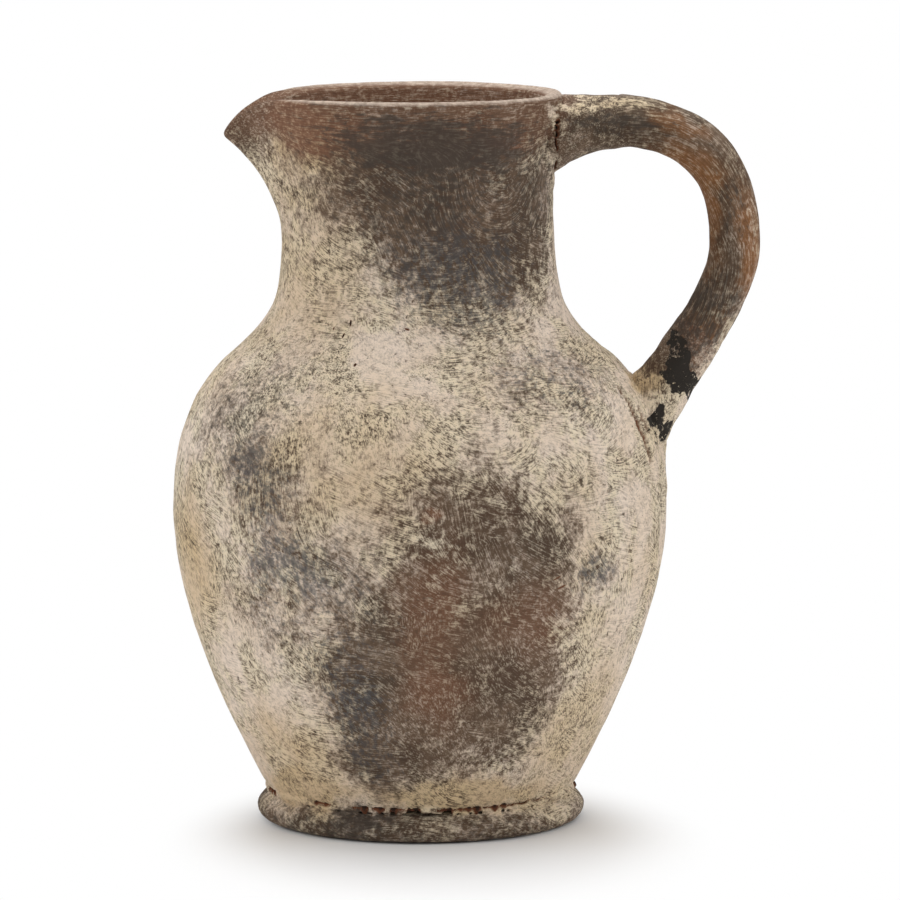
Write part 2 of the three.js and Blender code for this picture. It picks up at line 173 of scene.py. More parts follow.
class JugStage(bpy.types.PropertyGroup):
    lens: FloatProperty(
        name="Lens", description="Focal length of the camera", default=239.5, unit="CAMERA")
    camera_distance: length("Camera distance", "From the jug's axis to the camera, level", 2.198)
    camera_height: length("Camera height", "From the table to the camera", 0.4247)
    aim_height: length("Aim height", "From the table to the point that the camera is aimed at", 0.135)
    floor_reach: length("Floor reach", "Half the width of the table", 6.0)


# Modelling helpers

def deselect_all():
    if bpy.context.object is not None and bpy.context.object.mode != "OBJECT":
        bpy.ops.object.mode_set(mode="OBJECT")
    bpy.ops.object.select_all(action="DESELECT")


def make_active(piece):
    deselect_all()
    piece.select_set(True)
    bpy.context.view_layer.objects.active = piece


def edit(piece):
    """Opens a piece in edit mode with nothing selected."""
    make_active(piece)
    bpy.ops.object.mode_set(mode="EDIT")
    bpy.ops.mesh.select_all(action="DESELECT")


def leave_edit():
    bpy.ops.object.mode_set(mode="OBJECT")


def select_faces(piece, chosen):
    """Selects, in edit mode, the faces for which chosen(centre, normal) is true."""
    leave_edit()
    for polygon in piece.data.polygons:
        polygon.select = chosen(polygon.center, polygon.normal)
    bpy.ops.object.mode_set(mode="EDIT")
    bpy.ops.mesh.select_mode(type="FACE")


def modify(piece, kind, **settings):
    """Adds one modifier with these settings and applies it."""
    make_active(piece)
    bpy.ops.object.modifier_add(type=kind)
    modifier = piece.modifiers[-1]
    for setting, value in settings.items():
        setattr(modifier, setting, value)
    bpy.ops.object.modifier_apply(modifier=modifier.name)


def mesh_copy(source, name):
    """A new object with its own copy of another's mesh, without its materials."""
    mesh = source.data.copy()
    mesh.materials.clear()
    piece = bpy.data.objects.new(name, mesh)
    bpy.context.scene.collection.objects.link(piece)
    return piece


def node_copy(node, name):
    """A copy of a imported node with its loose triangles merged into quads."""
    piece = mesh_copy(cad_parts[node], name)
    make_active(piece)
    bpy.ops.mesh.customdata_custom_splitnormals_clear()
    edit(piece)
    bpy.ops.mesh.select_all(action="SELECT")
    bpy.ops.mesh.remove_doubles(threshold=MERGE_DISTANCE)
    bpy.ops.mesh.tris_convert_to_quads(face_threshold=math.radians(30), shape_threshold=math.radians(60))
    leave_edit()
    return piece


def weigh(piece, group, weight_of):
    """Makes a vertex group with weight_of(place, normal) for each vertex."""
    weights = piece.vertex_groups.new(name=group)
    for vertex in piece.data.vertices:
        weight = weight_of(vertex.co, vertex.normal)
        if weight > 0:
            weights.add([vertex.index], min(weight, 1), "REPLACE")


def mark(piece, name, value_of):
    """Stores value_of(place, normal) at each vertex, for the materials to read."""
    values = piece.data.attributes.new(name, "FLOAT", "POINT")
    for vertex, stored in zip(piece.data.vertices, values.data):
        stored.value = value_of(vertex.co, vertex.normal)


def knead(piece, depth, grain, inward=0.5, group="", shift=0.0):
    """Moves the surface by soft noise of the given depth, whose lumps have the sizes in grain."""
    deselect_all()
    bpy.ops.object.empty_add(location=(shift, shift, shift))
    lumps = bpy.context.object
    lumps.scale = grain
    bpy.context.view_layer.update()
    noise = bpy.data.textures.new("kneading", "CLOUDS")
    noise.noise_scale = 1
    noise.noise_depth = 1
    modify(piece, "DISPLACE", texture=noise, texture_coords="OBJECT", texture_coords_object=lumps,
           strength=depth, mid_level=inward, vertex_group=group)
    bpy.data.objects.remove(lumps)
    bpy.data.textures.remove(noise)


def smoothstep(value, low, high):
    t = min(max((value - low) / (high - low), 0), 1)
    return t * t * (3 - 2 * t)


def outwardness(place, normal):
    """1 where a surface faces away from the jug's axis, 0 where it faces it."""
    outward = Vector((place.x, place.y, 0))
    if outward.length < MERGE_DISTANCE:
        return 0.5
    return smoothstep(normal.dot(outward.normalized()), -0.25, 0.25)


def keep_within(piece):
    """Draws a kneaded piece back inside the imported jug's box, where it has grown past it."""
    low, high = CAD_BOX
    ratios = [1, 1, 1]
    for axis in range(3):
        places = [vertex.co[axis] for vertex in piece.data.vertices]
        for edge, reach in ((low[axis], min(places)), (high[axis], max(places))):
            if abs(reach) > abs(edge) > MM:
                ratios[axis] = min(ratios[axis], edge / reach)
    edit(piece)
    bpy.ops.mesh.select_all(action="SELECT")
    bpy.ops.transform.resize(value=ratios, center_override=(0, 0, 0))
    leave_edit()


def finish_piece(piece, material, slot, *nodes):
    """Smooths a finished piece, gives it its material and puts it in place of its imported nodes."""
    make_active(piece)
    bpy.ops.object.shade_smooth()
    piece.data.materials.clear()
    piece.data.materials.append(material)
    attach(piece, BODY)
    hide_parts(*nodes)


def remove(piece):
    mesh = piece.data
    bpy.data.objects.remove(piece)
    bpy.data.meshes.remove(mesh)


# Node wiring

class Wiring:
    """Adds nodes to one tree. An input is given as another node's output or as a plain value."""

    def __init__(self, tree):
        self.tree = tree
        self.column = 0

    def add(self, kind, inputs=None, **settings):
        node = self.tree.nodes.new(kind)
        node.location = (self.column * 170, -(self.column % 5) * 190)
        self.column += 1
        for setting, value in settings.items():
            setattr(node, setting, value)
        for key, value in (inputs or {}).items():
            socket = node.inputs[key]
            if isinstance(value, bpy.types.NodeSocket):
                self.tree.links.new(value, socket)
            elif socket.type == "RGBA" and len(value) == 3:
                socket.default_value = (*value, 1)
            else:
                socket.default_value = value
        return node

    def maths(self, operation, *values, clamp=False):
        node = self.add("ShaderNodeMath", dict(enumerate(values)), operation=operation, use_clamp=clamp)
        return node.outputs[0]

    def weighed(self, *terms, start=0.0):
        """Adds to a start value each of the given values times its weight."""
        total = start
        for value, weight in terms:
            total = self.maths("MULTIPLY_ADD", value, weight, total)
        return total

    def vector(self, operation, *values):
        node = self.add("ShaderNodeVectorMath", dict(enumerate(values)), operation=operation)
        return node.outputs["Value" if operation in ("DOT_PRODUCT", "LENGTH") else "Vector"]

    def height(self, vector):
        return self.add("ShaderNodeSeparateXYZ", {"Vector": vector}).outputs["Z"]

    def scaled(self, vector, scale):
        node = self.add("ShaderNodeVectorMath", {"Vector": vector, "Scale": scale}, operation="SCALE")
        return node.outputs["Vector"]

    def ramp(self, value, low, high):
        """0 below low and 1 above high, with a soft step between them."""
        node = self.add(
            "ShaderNodeMapRange", {"Value": value, "From Min": low, "From Max": high},
            interpolation_type="SMOOTHSTEP")
        return node.outputs["Result"]

    def spread(self, value, low, high):
        """0 below low and 1 above high, with an even rise between them."""
        node = self.add("ShaderNodeMapRange", {"Value": value, "From Min": low, "From Max": high})
        return node.outputs["Result"]

    def blend(self, factor, first, second):
        """Mixes two colours."""
        node = self.add("ShaderNodeMix", data_type="RGBA")
        for key, value in (("Factor_Float", factor), ("A_Color", first), ("B_Color", second)):
            socket = next(s for s in node.inputs if s.identifier == key)
            if isinstance(value, bpy.types.NodeSocket):
                self.tree.links.new(value, socket)
            else:
                socket.default_value = (*value, 1) if key != "Factor_Float" else value
        return next(s for s in node.outputs if s.identifier == "Result_Color")

    def noise(self, vector, scale, detail=2.0, roughness=0.5):
        return self.add(
            "ShaderNodeTexNoise",
            {"Vector": vector, "Scale": scale, "Detail": detail, "Roughness": roughness})

    def group(self, tree, **inputs):
        """A node for a group, with its sockets named in small letters with underscores."""
        node = self.add("ShaderNodeGroup", node_tree=tree)
        for key, value in inputs.items():
            socket = node.inputs[key.replace("_", " ").capitalize()]
            if isinstance(value, bpy.types.NodeSocket):
                self.tree.links.new(value, socket)
            else:
                socket.default_value = value
        return node


def emptied(owner):
    """The wiring of a material or world that holds no nodes yet."""
    owner.use_nodes = True
    owner.node_tree.nodes.clear()
    return Wiring(owner.node_tree)


def new_group(name, inputs, outputs):
    """A node group. inputs holds the default of each input, and outputs the kind of each output."""
    tree = bpy.data.node_groups.new(name, "ShaderNodeTree")
    for label, default in inputs.items():
        kind = "Float" if isinstance(default, float) else {3: "Vector", 4: "Color"}[len(default)]
        socket = tree.interface.new_socket(label, in_out="INPUT", socket_type="NodeSocket" + kind)
        socket.default_value = default
    for label, kind in outputs.items():
        tree.interface.new_socket(label, in_out="OUTPUT", socket_type="NodeSocket" + kind)
    wiring = Wiring(tree)
    taken = wiring.add("NodeGroupInput").outputs
    given = wiring.add("NodeGroupOutput").inputs
    return tree, wiring, taken, given


# Where slip, soot, rust, ochre, slate, flakes and pits lie. Each patch is a soft-edged lens. On the wall
# it is placed by its azimuth from the front in degrees, counted towards the handle, and its height; on
# the handle by its reach from the axis and its height. Then come half width, half height, lean in degrees
# and how much the patch adds or takes away. Lengths are in millimetres.

PATCHES = {
    "Slip": (
        ("wall", "neck, dark cloud", -13, 236, 22, 26, 16, -0.62),
        ("wall", "neck, streaky side", 30, 236, 38, 26, 0, -0.42),
        ("wall", "neck, streaks by the handle", 58, 224, 18, 28, 0, -0.26),
        ("wall", "neck, grey streaks under the lip", 52, 252, 12, 12, 0, 0.12),
        ("wall", "neck, brown by the handle", 30, 234, 18, 18, 0, -0.3),
        ("wall", "neck, tan side under the lip", -46, 240, 24, 16, 0, -0.22),
        ("wall", "foot, cream left", -62, 8, 17, 6, 0, 0.7),
        ("wall", "foot, cream right", 67, 10, 17, 5, 0, 0.6),
        ("wall", "belly, greyed upper middle", -18, 142, 26, 20, 0, -0.18),
        ("wall", "belly, greyed lower left", -40, 30, 26, 14, 0, -0.1),
        ("wall", "belly, light gap in the bare centre", 15, 98, 7, 12, -20, 0.4),
        ("wall", "neck, charcoal side", 27, 207, 32, 20, 0, -0.42),
        ("wall", "neck, cream side", -58, 214, 24, 30, 0, -0.1),
        ("wall", "belly, bare centre", 17, 78, 33, 50, 8, -0.98),
        ("wall", "belly, bare lower left", -10, 54, 19, 32, -15, -0.65),
        ("wall", "belly, top of the bare centre", 7, 131, 23, 16, 10, -0.36),
        ("wall", "belly, upper right of the bare centre", 33, 118, 13, 19, 0, -0.25),
        ("wall", "belly, hatched left", -53, 165, 34, 22, 30, -0.2),
        ("wall", "belly, left blotch", -39, 135, 17, 17, 0, -0.3),
        ("wall", "belly, speckled middle left", -29, 93, 32, 40, 20, -0.32),
        ("wall", "belly, bare bottom", 3, 30, 35, 9, 0, -0.3),
        ("wall", "shoulder, streaked right", 39, 169, 30, 15, -10, -0.3),
        ("wall", "belly, blue spot", 48, 101, 8, 9, 0, -0.42),
        ("wall", "belly, cream lower left", -56, 50, 33, 33, 0, 0.12),
        ("wall", "belly, cream left edge", -72, 100, 26, 44, 0, 0.12),
        ("wall", "shoulder, cream left", -22, 164, 36, 26, 0, 0.12),
        ("wall", "belly, cream right", 61, 87, 25, 59, 0, 0.16),
        ("wall", "shoulder, rubbed smooth", -3, 173, 8, 5, 0, 0.2),
        ("wall", "behind the handle, bare", 128, 120, 36, 44, 15, -0.5),
        ("wall", "back of the neck, bare", 170, 232, 40, 24, 0, -0.45),
        ("wall", "back of the belly, bare", 192, 78, 34, 46, -12, -0.55),
        ("wall", "back of the shoulder, streaked", 215, 160, 30, 18, 0, -0.25),
        ("wall", "under the beak, bare", -95, 238, 18, 22, 0, -0.3),
        ("wall", "beak side of the belly, bare", -110, 92, 26, 40, 10, -0.45),
        ("wall", "back, cream", 150, 60, 30, 30, 0, 0.12),
        ("handle", "root, pale streak", 49, 262, 2.6, 7, 24, 1.0),
        ("handle", "root, pale streak beside the slot", 46.5, 250, 3.4, 9, 0, 0.2),
        ("handle", "root, pale lip", 55, 268, 7, 2.4, -6, 0.8),
        ("handle", "root, greenish clay", 57, 254, 5, 8, 0, 0.3),
        ("handle", "top, cream", 74, 267, 21, 3, -3, 0.5),
        ("handle", "underside of the root, pale", 72, 249, 18, 3, 4, 0.2),
        # These two rows lighten the handle's outer bend and outer edge: partly scuffed wear, partly a
        # painted highlight
        ("handle", "outer bend, scuffed", 112, 250, 17, 4, -48, 0.24),
        ("handle", "outer edge, scuffed", 124, 212, 3.5, 28, 0, 0.34),
        ("handle", "outer edge of the foot, cream", 105, 172, 6, 28, -29, 0.8),
        ("handle", "end of the foot, cream", 93, 148, 10, 10, 0, 0.6),
        ("handle", "inner foot, cream", 86, 158, 6, 12, -30, 0.5),
        ("handle", "bend, bare", 108, 222, 11, 26, -8, -0.16),
        ("handle", "above the foot, bare", 103, 188, 9, 14, -30, -0.25),
    ),
    "Soot": (
        ("wall", "neck, over the charcoal side", 18, 203, 29, 18, 0, 0.42),
        ("wall", "neck, over the dark cloud", -10, 232, 26, 22, 15, 0.34),
        ("wall", "neck, over the streaky side", 34, 236, 30, 22, 0, 0.3),
        # This row darkens a band of the neck just under the front of the lip
        ("wall", "neck, under the lip", 8, 255, 44, 10, 0, 0.75),
        ("wall", "belly, over the hatched left", -49, 160, 32, 20, 30, 0.3),
        ("wall", "belly, left blotch", -40, 135, 15, 15, 0, 0.45),
        ("wall", "belly, slate spot", -35, 109, 14, 10, 0, 0.36),
        ("wall", "belly, speckled middle left", -27, 88, 28, 32, 0, 0.26),
        ("wall", "belly, upright dark patch", -17, 42, 11, 22, 0, 0.42),
        ("wall", "foot, dark left of the middle", -22, 6, 13, 3, 0, 0.5),
        ("wall", "belly, blue spot", 46, 100, 9, 8, 0, 0.45),
        ("wall", "shoulder, streaks", 41, 171, 27, 11, -10, 0.34),
        ("wall", "belly, spot on the right shoulder of the bare centre", 37, 128, 8, 5, 0, 0.2),
        ("wall", "belly, over the bare centre", 4, 138, 17, 7, 0, 0.1),
        ("wall", "back of the belly", 200, 120, 34, 26, 20, 0.4),
        ("wall", "back of the neck", 150, 215, 26, 20, 0, 0.36),
        ("wall", "beak side of the belly", -120, 130, 24, 22, 0, 0.36),
        ("handle", "root, upper streak", 72, 260, 19, 2.6, -4, 0.52),
        ("handle", "root, lower streak", 74, 255, 18, 2.6, -2, 0.3),
        ("handle", "outer bend, dark cloud", 115, 228, 5, 10, -8, 0.4),
        ("handle", "middle, dark", 104, 192, 9, 14, -30, 0.45),
        ("handle", "above the foot", 101, 178, 7, 12, -30, 0.3),
    ),
    "Rust": (
        ("wall", "belly, left of centre", 3, 85, 13, 24, 0, 0.6),
        ("wall", "belly, low in the middle", 4, 58, 12, 9, 0, 0.5),
        ("wall", "neck, rim band on the left", -48, 258, 24, 9, 0, 0.7),
        ("wall", "belly, right of centre", 29, 87, 18, 13, 0, 0.45),
        ("wall", "belly, small", 2, 124, 4, 3, 0, 0.8),
        ("wall", "neck, under the rim", 42, 255, 9, 3, 0, 0.7),
        ("wall", "back of the belly", 186, 84, 22, 24, 0, 0.6),
        ("handle", "root, pinkish spot", 96, 259, 9, 4, -20, 0.7),
        ("handle", "inner bend", 98, 242, 13, 8, -40, 0.9),
        ("handle", "inner side of the bend", 104, 222, 5, 18, 0, 0.8),
        ("handle", "outer edge", 121, 210, 6, 22, 0, 1.0),
        ("handle", "above the foot", 104, 180, 8, 10, -30, 0.6),
    ),
    "Ochre": (
        ("wall", "belly, left edge", -69, 100, 20, 26, 0, 0.7),
        ("wall", "neck, cream side", -58, 210, 26, 34, 0, 0.4),
        ("wall", "neck, under the rim on the left", -45, 254, 26, 12, 0, 0.7),
        ("wall", "crease, front", 10, 17, 38, 7, 0, 0.9),
        ("wall", "crease, left", -50, 14, 20, 8, 0, 0.8),
        ("wall", "belly, upper middle", -18, 142, 34, 24, 0, 0.45),
        ("wall", "belly, lower left", -42, 32, 26, 16, 0, 0.4),
        ("wall", "belly, lower right", 55, 40, 24, 22, 0, 0.4),
        ("wall", "back of the shoulder", 190, 180, 24, 12, 0, 0.6),
        ("handle", "top, yellowish", 76, 265, 18, 5, 0, 0.3),
        ("handle", "inner middle", 101, 215, 5, 14, 10, 0.4),
        ("handle", "foot, yellow fillet", 84, 164, 6, 10, -35, 1.0),
    ),
    "Slate": (
        ("wall", "belly, slate spot", -36, 106, 20, 16, 0, 0.8),
        ("wall", "belly, upright dark patch", -17, 44, 14, 26, 0, 0.6),
        ("wall", "belly, blue spot", 46, 100, 12, 12, 0, 0.9),
        ("wall", "shoulder, streaks", 41, 171, 30, 14, 0, 0.8),
        ("wall", "neck, charcoal side", 22, 204, 34, 18, 0, 0.7),
        ("wall", "belly, left blotch", -40, 135, 20, 18, 0, 0.7),
        ("wall", "belly, speckled middle left", -27, 88, 28, 30, 0, 0.5),
        ("wall", "belly, left edge of the bare centre", -21, 66, 12, 16, 0, 0.6),
    ),
    "Flakes": (
        ("handle", "foot, upper flake", 93.6, 170, 4.4, 12, -6, 1.0),
        ("handle", "foot, upper flake's outer lobe", 97, 164, 4, 6, 0, 0.9),
        ("handle", "foot, lower flake", 87.5, 148, 3.4, 5.5, -10, 1.0),
        ("handle", "crotch, black line", 79.6, 166.8, 1.6, 1.2, -30, 1.2),
    ),
    # The pits are only bumped and coloured: reddish at their rims, with floors darkened as painted shade
    "Pits": (
        ("wall", "shoulder, two pits in a row", -27.1, 189.6, 0.35, 1.0, 10, 0.9),
        ("wall", "shoulder, lower of the two", -28.6, 185.2, 0.35, 0.8, -10, 0.8),
        ("wall", "shoulder, left pit", -33.6, 187.4, 0.3, 0.5, 0, 0.6),
        ("wall", "shoulder, middle pit", -4.9, 188.0, 0.9, 0.35, -20, 0.6),
        ("wall", "shoulder, low pit", -20.6, 175.9, 0.5, 0.5, 0, 0.7),
        ("wall", "belly, rubbed hollow", 34.6, 97.0, 2.0, 0.4, 20, 0.5),
        ("wall", "belly, rubbed hollow above it", 33.0, 100.5, 1.8, 0.3, 24, 0.5),
    ),
}
PATCH_DEPTH = {"wall": 0.03, "handle": 0.014}
RADIUS_BAND = 0.008
PATCH_EDGE = 0.6
HANDLE_FRONT = -0.01

# How much slip lies where there is no patch, and how far the borders of the patches wander
SLIP_LEVEL = -0.12
RAGGEDNESS = 0.03


def wall_radius(height):
    """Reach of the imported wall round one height, at right angles to the beak and the handle."""
    corners = (v.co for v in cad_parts["body_wall"].data.vertices)
    return max(abs(c.y) for c in corners if abs(c.z - height) < RADIUS_BAND)


def lay_patches(wiring, vector, start, patches):
    """Adds one soft lens after another to a value."""
    level = start
    for ground, _, along, height, half_width, half_height, lean, amount in patches:
        turn = 0
        place = (along * MM, HANDLE_FRONT, height * MM)
        if ground == "wall":
            turn = math.radians(along)
            radius = wall_radius(height * MM)
            place = (radius * math.sin(turn), -radius * math.cos(turn), height * MM)
        reach = 1 + PATCH_EDGE
        local = wiring.add("ShaderNodeMapping", {
            "Vector": vector, "Location": place, "Rotation": (0, -math.radians(lean), turn),
            "Scale": (half_width * reach * MM, PATCH_DEPTH[ground] * reach, half_height * reach * MM),
        }, vector_type="TEXTURE")
        ball = wiring.add(
            "ShaderNodeTexGradient", {"Vector": local.outputs["Vector"]}, gradient_type="SPHERICAL")
        lens = wiring.ramp(ball.outputs["Fac"], 0, 2 * PATCH_EDGE / reach)
        level = wiring.maths("MULTIPLY_ADD", lens, amount, level)
    return level


def fire_and_slip_group():
    """Where slip, soot, rust, ochre and slate lie on the jug, as masks with ragged borders."""
    masks = ("Slip", "Soot", "Rust", "Ochre", "Slate", "Wiped", "Crest", "Pits", "Flakes")
    tree, wiring, taken, given = new_group(
        "fire_and_slip", {"Vector": (0, 0, 0)}, dict.fromkeys(masks, "Float"))
    place = taken["Vector"]
    broad = wiring.noise(place, 38, 4, 0.6)
    offset = wiring.vector("SUBTRACT", broad.outputs["Color"], (0.5, 0.5, 0.5))
    ragged = wiring.vector("ADD", place, wiring.scaled(offset, RAGGEDNESS))
    clouds = wiring.noise(place, 30, 6, 0.68).outputs["Fac"]
    mottle = wiring.noise(place, 160, 3, 0.6).outputs["Fac"]
    slip = wiring.weighed((clouds, 1.0), (mottle, 1.1), start=SLIP_LEVEL)
    slip = lay_patches(wiring, ragged, slip, PATCHES["Slip"])
    height = wiring.height(ragged)
    # Darker towards the bottom: below these heights the slip thins out and the soot colour builds up
    foot = wiring.ramp(height, *BOTTOM_DARKENING_BAND)
    soot = lay_patches(wiring, ragged, wiring.weighed((clouds, -0.5), start=0.25), PATCHES["Soot"])
    rust = lay_patches(wiring, ragged, wiring.weighed((clouds, 1.1), start=-0.5), PATCHES["Rust"])
    stain = wiring.weighed((broad.outputs["Fac"], 1.4), start=-0.5)
    flakes = lay_patches(wiring, ragged, 0.0, PATCHES["Flakes"])
    levels = {
        "Slip": wiring.weighed((foot, -0.62), start=slip),
        "Soot": wiring.weighed((foot, 0.2), start=soot),
        "Rust": rust,
        "Ochre": lay_patches(wiring, ragged, stain, PATCHES["Ochre"]),
        "Slate": lay_patches(wiring, ragged, 0.0, PATCHES["Slate"]),
        "Wiped": wiring.ramp(height, *WIPED_BAND),
        # Crest: where the pale line of rubbed wear and painted highlight lies along the lip's crest
        "Crest": wiring.ramp(wiring.height(place), *CREST_HIGHLIGHT_BAND),
        "Pits": lay_patches(wiring, place, 0.0, PATCHES["Pits"]),
        "Flakes": wiring.ramp(wiring.weighed((mottle, 1.2), start=flakes), 1.06, 1.18),
    }
    for name, level in levels.items():
        clamped = name not in ("Slip", "Soot")
        wiring.tree.links.new(wiring.maths("ADD", level, 0.0, clamp=clamped), given[name])
    return tree


def brush_strokes_group():
    """Short bristle strokes round an upright axis, in patches that each lie their own way."""
    tree, wiring, taken, given = new_group(
        "brush_strokes",
        {"Vector": (0, 0, 0), "Patch size": 0.017, "Stroke length": 0.0024, "Stroke width": 0.0009,
         "Lean": 0.75, "Spread": 1.5, "Drift": 1.2, "Seed": 0.0},
        {"Strokes": "Float"})
    shift = wiring.add("ShaderNodeCombineXYZ", {"X": 0.0, "Y": 0.0, "Z": taken["Seed"]}).outputs[0]
    place = wiring.vector("ADD", taken["Vector"], shift)
    wobble = wiring.noise(place, 170, 2)
    wobble = wiring.vector("SUBTRACT", wobble.outputs["Color"], (0.5, 0.5, 0.5))
    ragged = wiring.vector("ADD", place, wiring.scaled(wobble, 0.012))
    cells = wiring.add("ShaderNodeTexVoronoi", {
        "Vector": ragged, "Scale": wiring.maths("DIVIDE", 1.0, taken["Patch size"])}, feature="F1")
    centre = wiring.vector("SUBTRACT", cells.outputs["Position"], shift)
    across = wiring.vector("NORMALIZE", wiring.vector("CROSS_PRODUCT", (0, 0, 1), centre))
    outward = wiring.vector("CROSS_PRODUCT", across, (0, 0, 1))
    chance = wiring.add("ShaderNodeSeparateColor", {"Color": cells.outputs["Color"]}).outputs["Red"]
    drift = wiring.maths("SUBTRACT", wiring.noise(place, 14, 1).outputs["Fac"], 0.5)
    chance = wiring.maths("SUBTRACT", chance, 0.5)
    angle = wiring.weighed((chance, taken["Spread"]), (drift, taken["Drift"]), start=taken["Lean"])
    turned = wiring.add("ShaderNodeVectorRotate", {
        "Vector": wiring.vector("SUBTRACT", taken["Vector"], centre), "Axis": outward, "Angle": angle,
    }, rotation_type="AXIS_ANGLE").outputs["Vector"]
    along = wiring.maths("DIVIDE", wiring.vector("DOT_PRODUCT", turned, across), taken["Stroke length"])
    beside = wiring.maths("DIVIDE", wiring.height(turned), taken["Stroke width"])
    depth = wiring.maths("DIVIDE", wiring.vector("DOT_PRODUCT", turned, outward), taken["Stroke width"])
    stretched = wiring.add("ShaderNodeCombineXYZ", {"X": along, "Y": beside, "Z": depth}).outputs[0]
    stretched = wiring.vector("ADD", stretched, wiring.scaled(cells.outputs["Color"], 40))
    grain = wiring.noise(stretched, 1.0, 2, 0.6).outputs["Fac"]
    wiring.tree.links.new(wiring.spread(grain, 0.28, 0.72), given["Strokes"])
    return tree


def weathered_clay_group(colours):
    """Clay, slip rubbed over it and soot over both, broken up by the brush strokes."""
    masks = dict.fromkeys(("Slip", "Soot", "Rust", "Ochre", "Slate", "Crack", "Flakes", "Crest"), 0.0)
    marks = dict.fromkeys(("Grain", "Hatch", "Blots", "Dust", "Clouds", "Softness"), 0.5)
    tones = {
        "Cream": colours.cream, "Pink": colours.pink, "Ochre slip": colours.ochre,
        "Umber": colours.umber, "Dark": colours.dark, "Rust clay": colours.rust,
        "Soot cloud": colours.soot, "Slate cloud": colours.slate, "Flake": colours.flake,
        "Crack floor": colours.crack, "Crack edge": colours.crack_edge,
    }
    tree, wiring, taken, given = new_group(
        "weathered_clay",
        {**masks, **marks, **{label: (*tone, 1) for label, tone in tones.items()}},
        {"Color": "Color", "Roughness": "Float", "Height": "Float"})
    grain, hatch, blots, dust = (taken[name] for name in ("Grain", "Hatch", "Blots", "Dust"))
    mixed = wiring.weighed((grain, 0.15), (hatch, 0.13), (blots, 0.24), (dust, 0.48))
    texture = wiring.weighed((hatch, 0.42), (grain, 0.2), (dust, 0.38))
    specks = wiring.weighed((blots, 0.5), (dust, 0.5))
    dabs = wiring.weighed((grain, 0.4), (blots, 0.6))

    def part(mask, amount):
        return wiring.maths("MULTIPLY", mask, amount)

    def broken_up(level, marks, strength):
        return wiring.weighed((wiring.maths("SUBTRACT", marks, 0.5), strength), start=level)

    # Bare clay and full slip
    clay = wiring.blend(wiring.ramp(taken["Clouds"], 0.38, 0.62), taken["Umber"], taken["Dark"])
    clay = wiring.blend(taken["Rust"], clay, taken["Rust clay"])
    slip = wiring.blend(wiring.ramp(taken["Clouds"], 0.58, 0.42), taken["Cream"], taken["Pink"])
    slip = wiring.blend(part(taken["Ochre"], 0.75), slip, taken["Ochre slip"])

    # Remains of slip on the clay, and clay that shows through the slip
    scuffed = wiring.blend(part(wiring.ramp(texture, 0.45, 0.8), 0.42), clay, slip)
    scuffed = wiring.blend(part(wiring.ramp(texture, 0.52, 0.15), 0.5), scuffed, taken["Dark"])
    thin = wiring.weighed((wiring.ramp(taken["Clouds"], 0.36, 0.62), 0.62), start=0.32)
    worn = wiring.blend(part(wiring.ramp(texture, 0.64, 0.27), thin), slip, clay)
    worn = wiring.blend(part(wiring.ramp(specks, 0.25, 0.14), 0.75), worn, taken["Dark"])
    low = wiring.weighed((taken["Softness"], -0.5), start=0.5)
    high = wiring.weighed((taken["Softness"], 0.5), start=0.5)
    body = wiring.weighed((wiring.ramp(taken["Slip"], 0.1, 0.6), 0.5), start=0.5)
    slip_mask = part(wiring.ramp(broken_up(taken["Slip"], mixed, 1.25), low, high), body)
    surface = wiring.blend(slip_mask, scuffed, worn)

    # Soot, flakes, the lip's crest (partly rubbed wear, partly a painted highlight), and cracks whose
    # floors are darkened as painted shade, on top of all
    cloud = wiring.blend(taken["Slate"], taken["Soot cloud"], taken["Slate cloud"])
    soot_mask = part(wiring.ramp(broken_up(taken["Soot"], dabs, 1.3), 0.15, 0.75), 0.8)
    surface = wiring.blend(soot_mask, surface, cloud)
    flaked = part(taken["Flakes"], wiring.maths("SUBTRACT", 1.0, wiring.ramp(mixed, 0.58, 0.7)))
    surface = wiring.blend(flaked, surface, taken["Flake"])
    # Pale pink laid along the lip's crest: partly rubbed wear, partly a painted highlight
    rubbed = part(taken["Crest"], wiring.weighed((dust, 0.4), start=0.25))
    surface = wiring.blend(rubbed, surface, taken["Pink"])
    # Rims of cracks and pits take the reddish clay of a crack's edge; their floors are darkened to
    # near-black as painted shade
    surface = wiring.blend(wiring.ramp(taken["Crack"], 0.1, 0.45), surface, taken["Crack edge"])
    surface = wiring.blend(wiring.ramp(taken["Crack"], 0.4, 0.8), surface, taken["Crack floor"])

    rough = wiring.weighed((slip_mask, 0.1), (soot_mask, -0.06), start=0.82)
    relief = wiring.weighed(
        (mixed, 0.6), (slip_mask, 0.4), (texture, 0.6), (flaked, -0.6), (taken["Crack"], -1.0))
    for name, value in (("Color", surface), ("Roughness", rough), ("Height", relief)):
        wiring.tree.links.new(value, given[name])
    return tree


def shared_groups(scene):
    """Builds the shared node groups once and returns them by name."""
    if "weathered_clay" not in bpy.data.node_groups:
        fire_and_slip_group()
        brush_strokes_group()
        weathered_clay_group(scene.jug_colours)
    return bpy.data.node_groups


def leaning(wiring, place, lean):
    """The strokes' lean. On the handle's side of the shoulder they lean the other way."""
    apart = wiring.add("ShaderNodeSeparateXYZ", {"Vector": place}).outputs
    beyond = wiring.maths(
        "MULTIPLY", wiring.ramp(apart["X"], 0.005, 0.05), wiring.ramp(apart["Z"], 0.12, 0.16))
    return wiring.weighed((beyond, -1.7 * lean), start=lean)


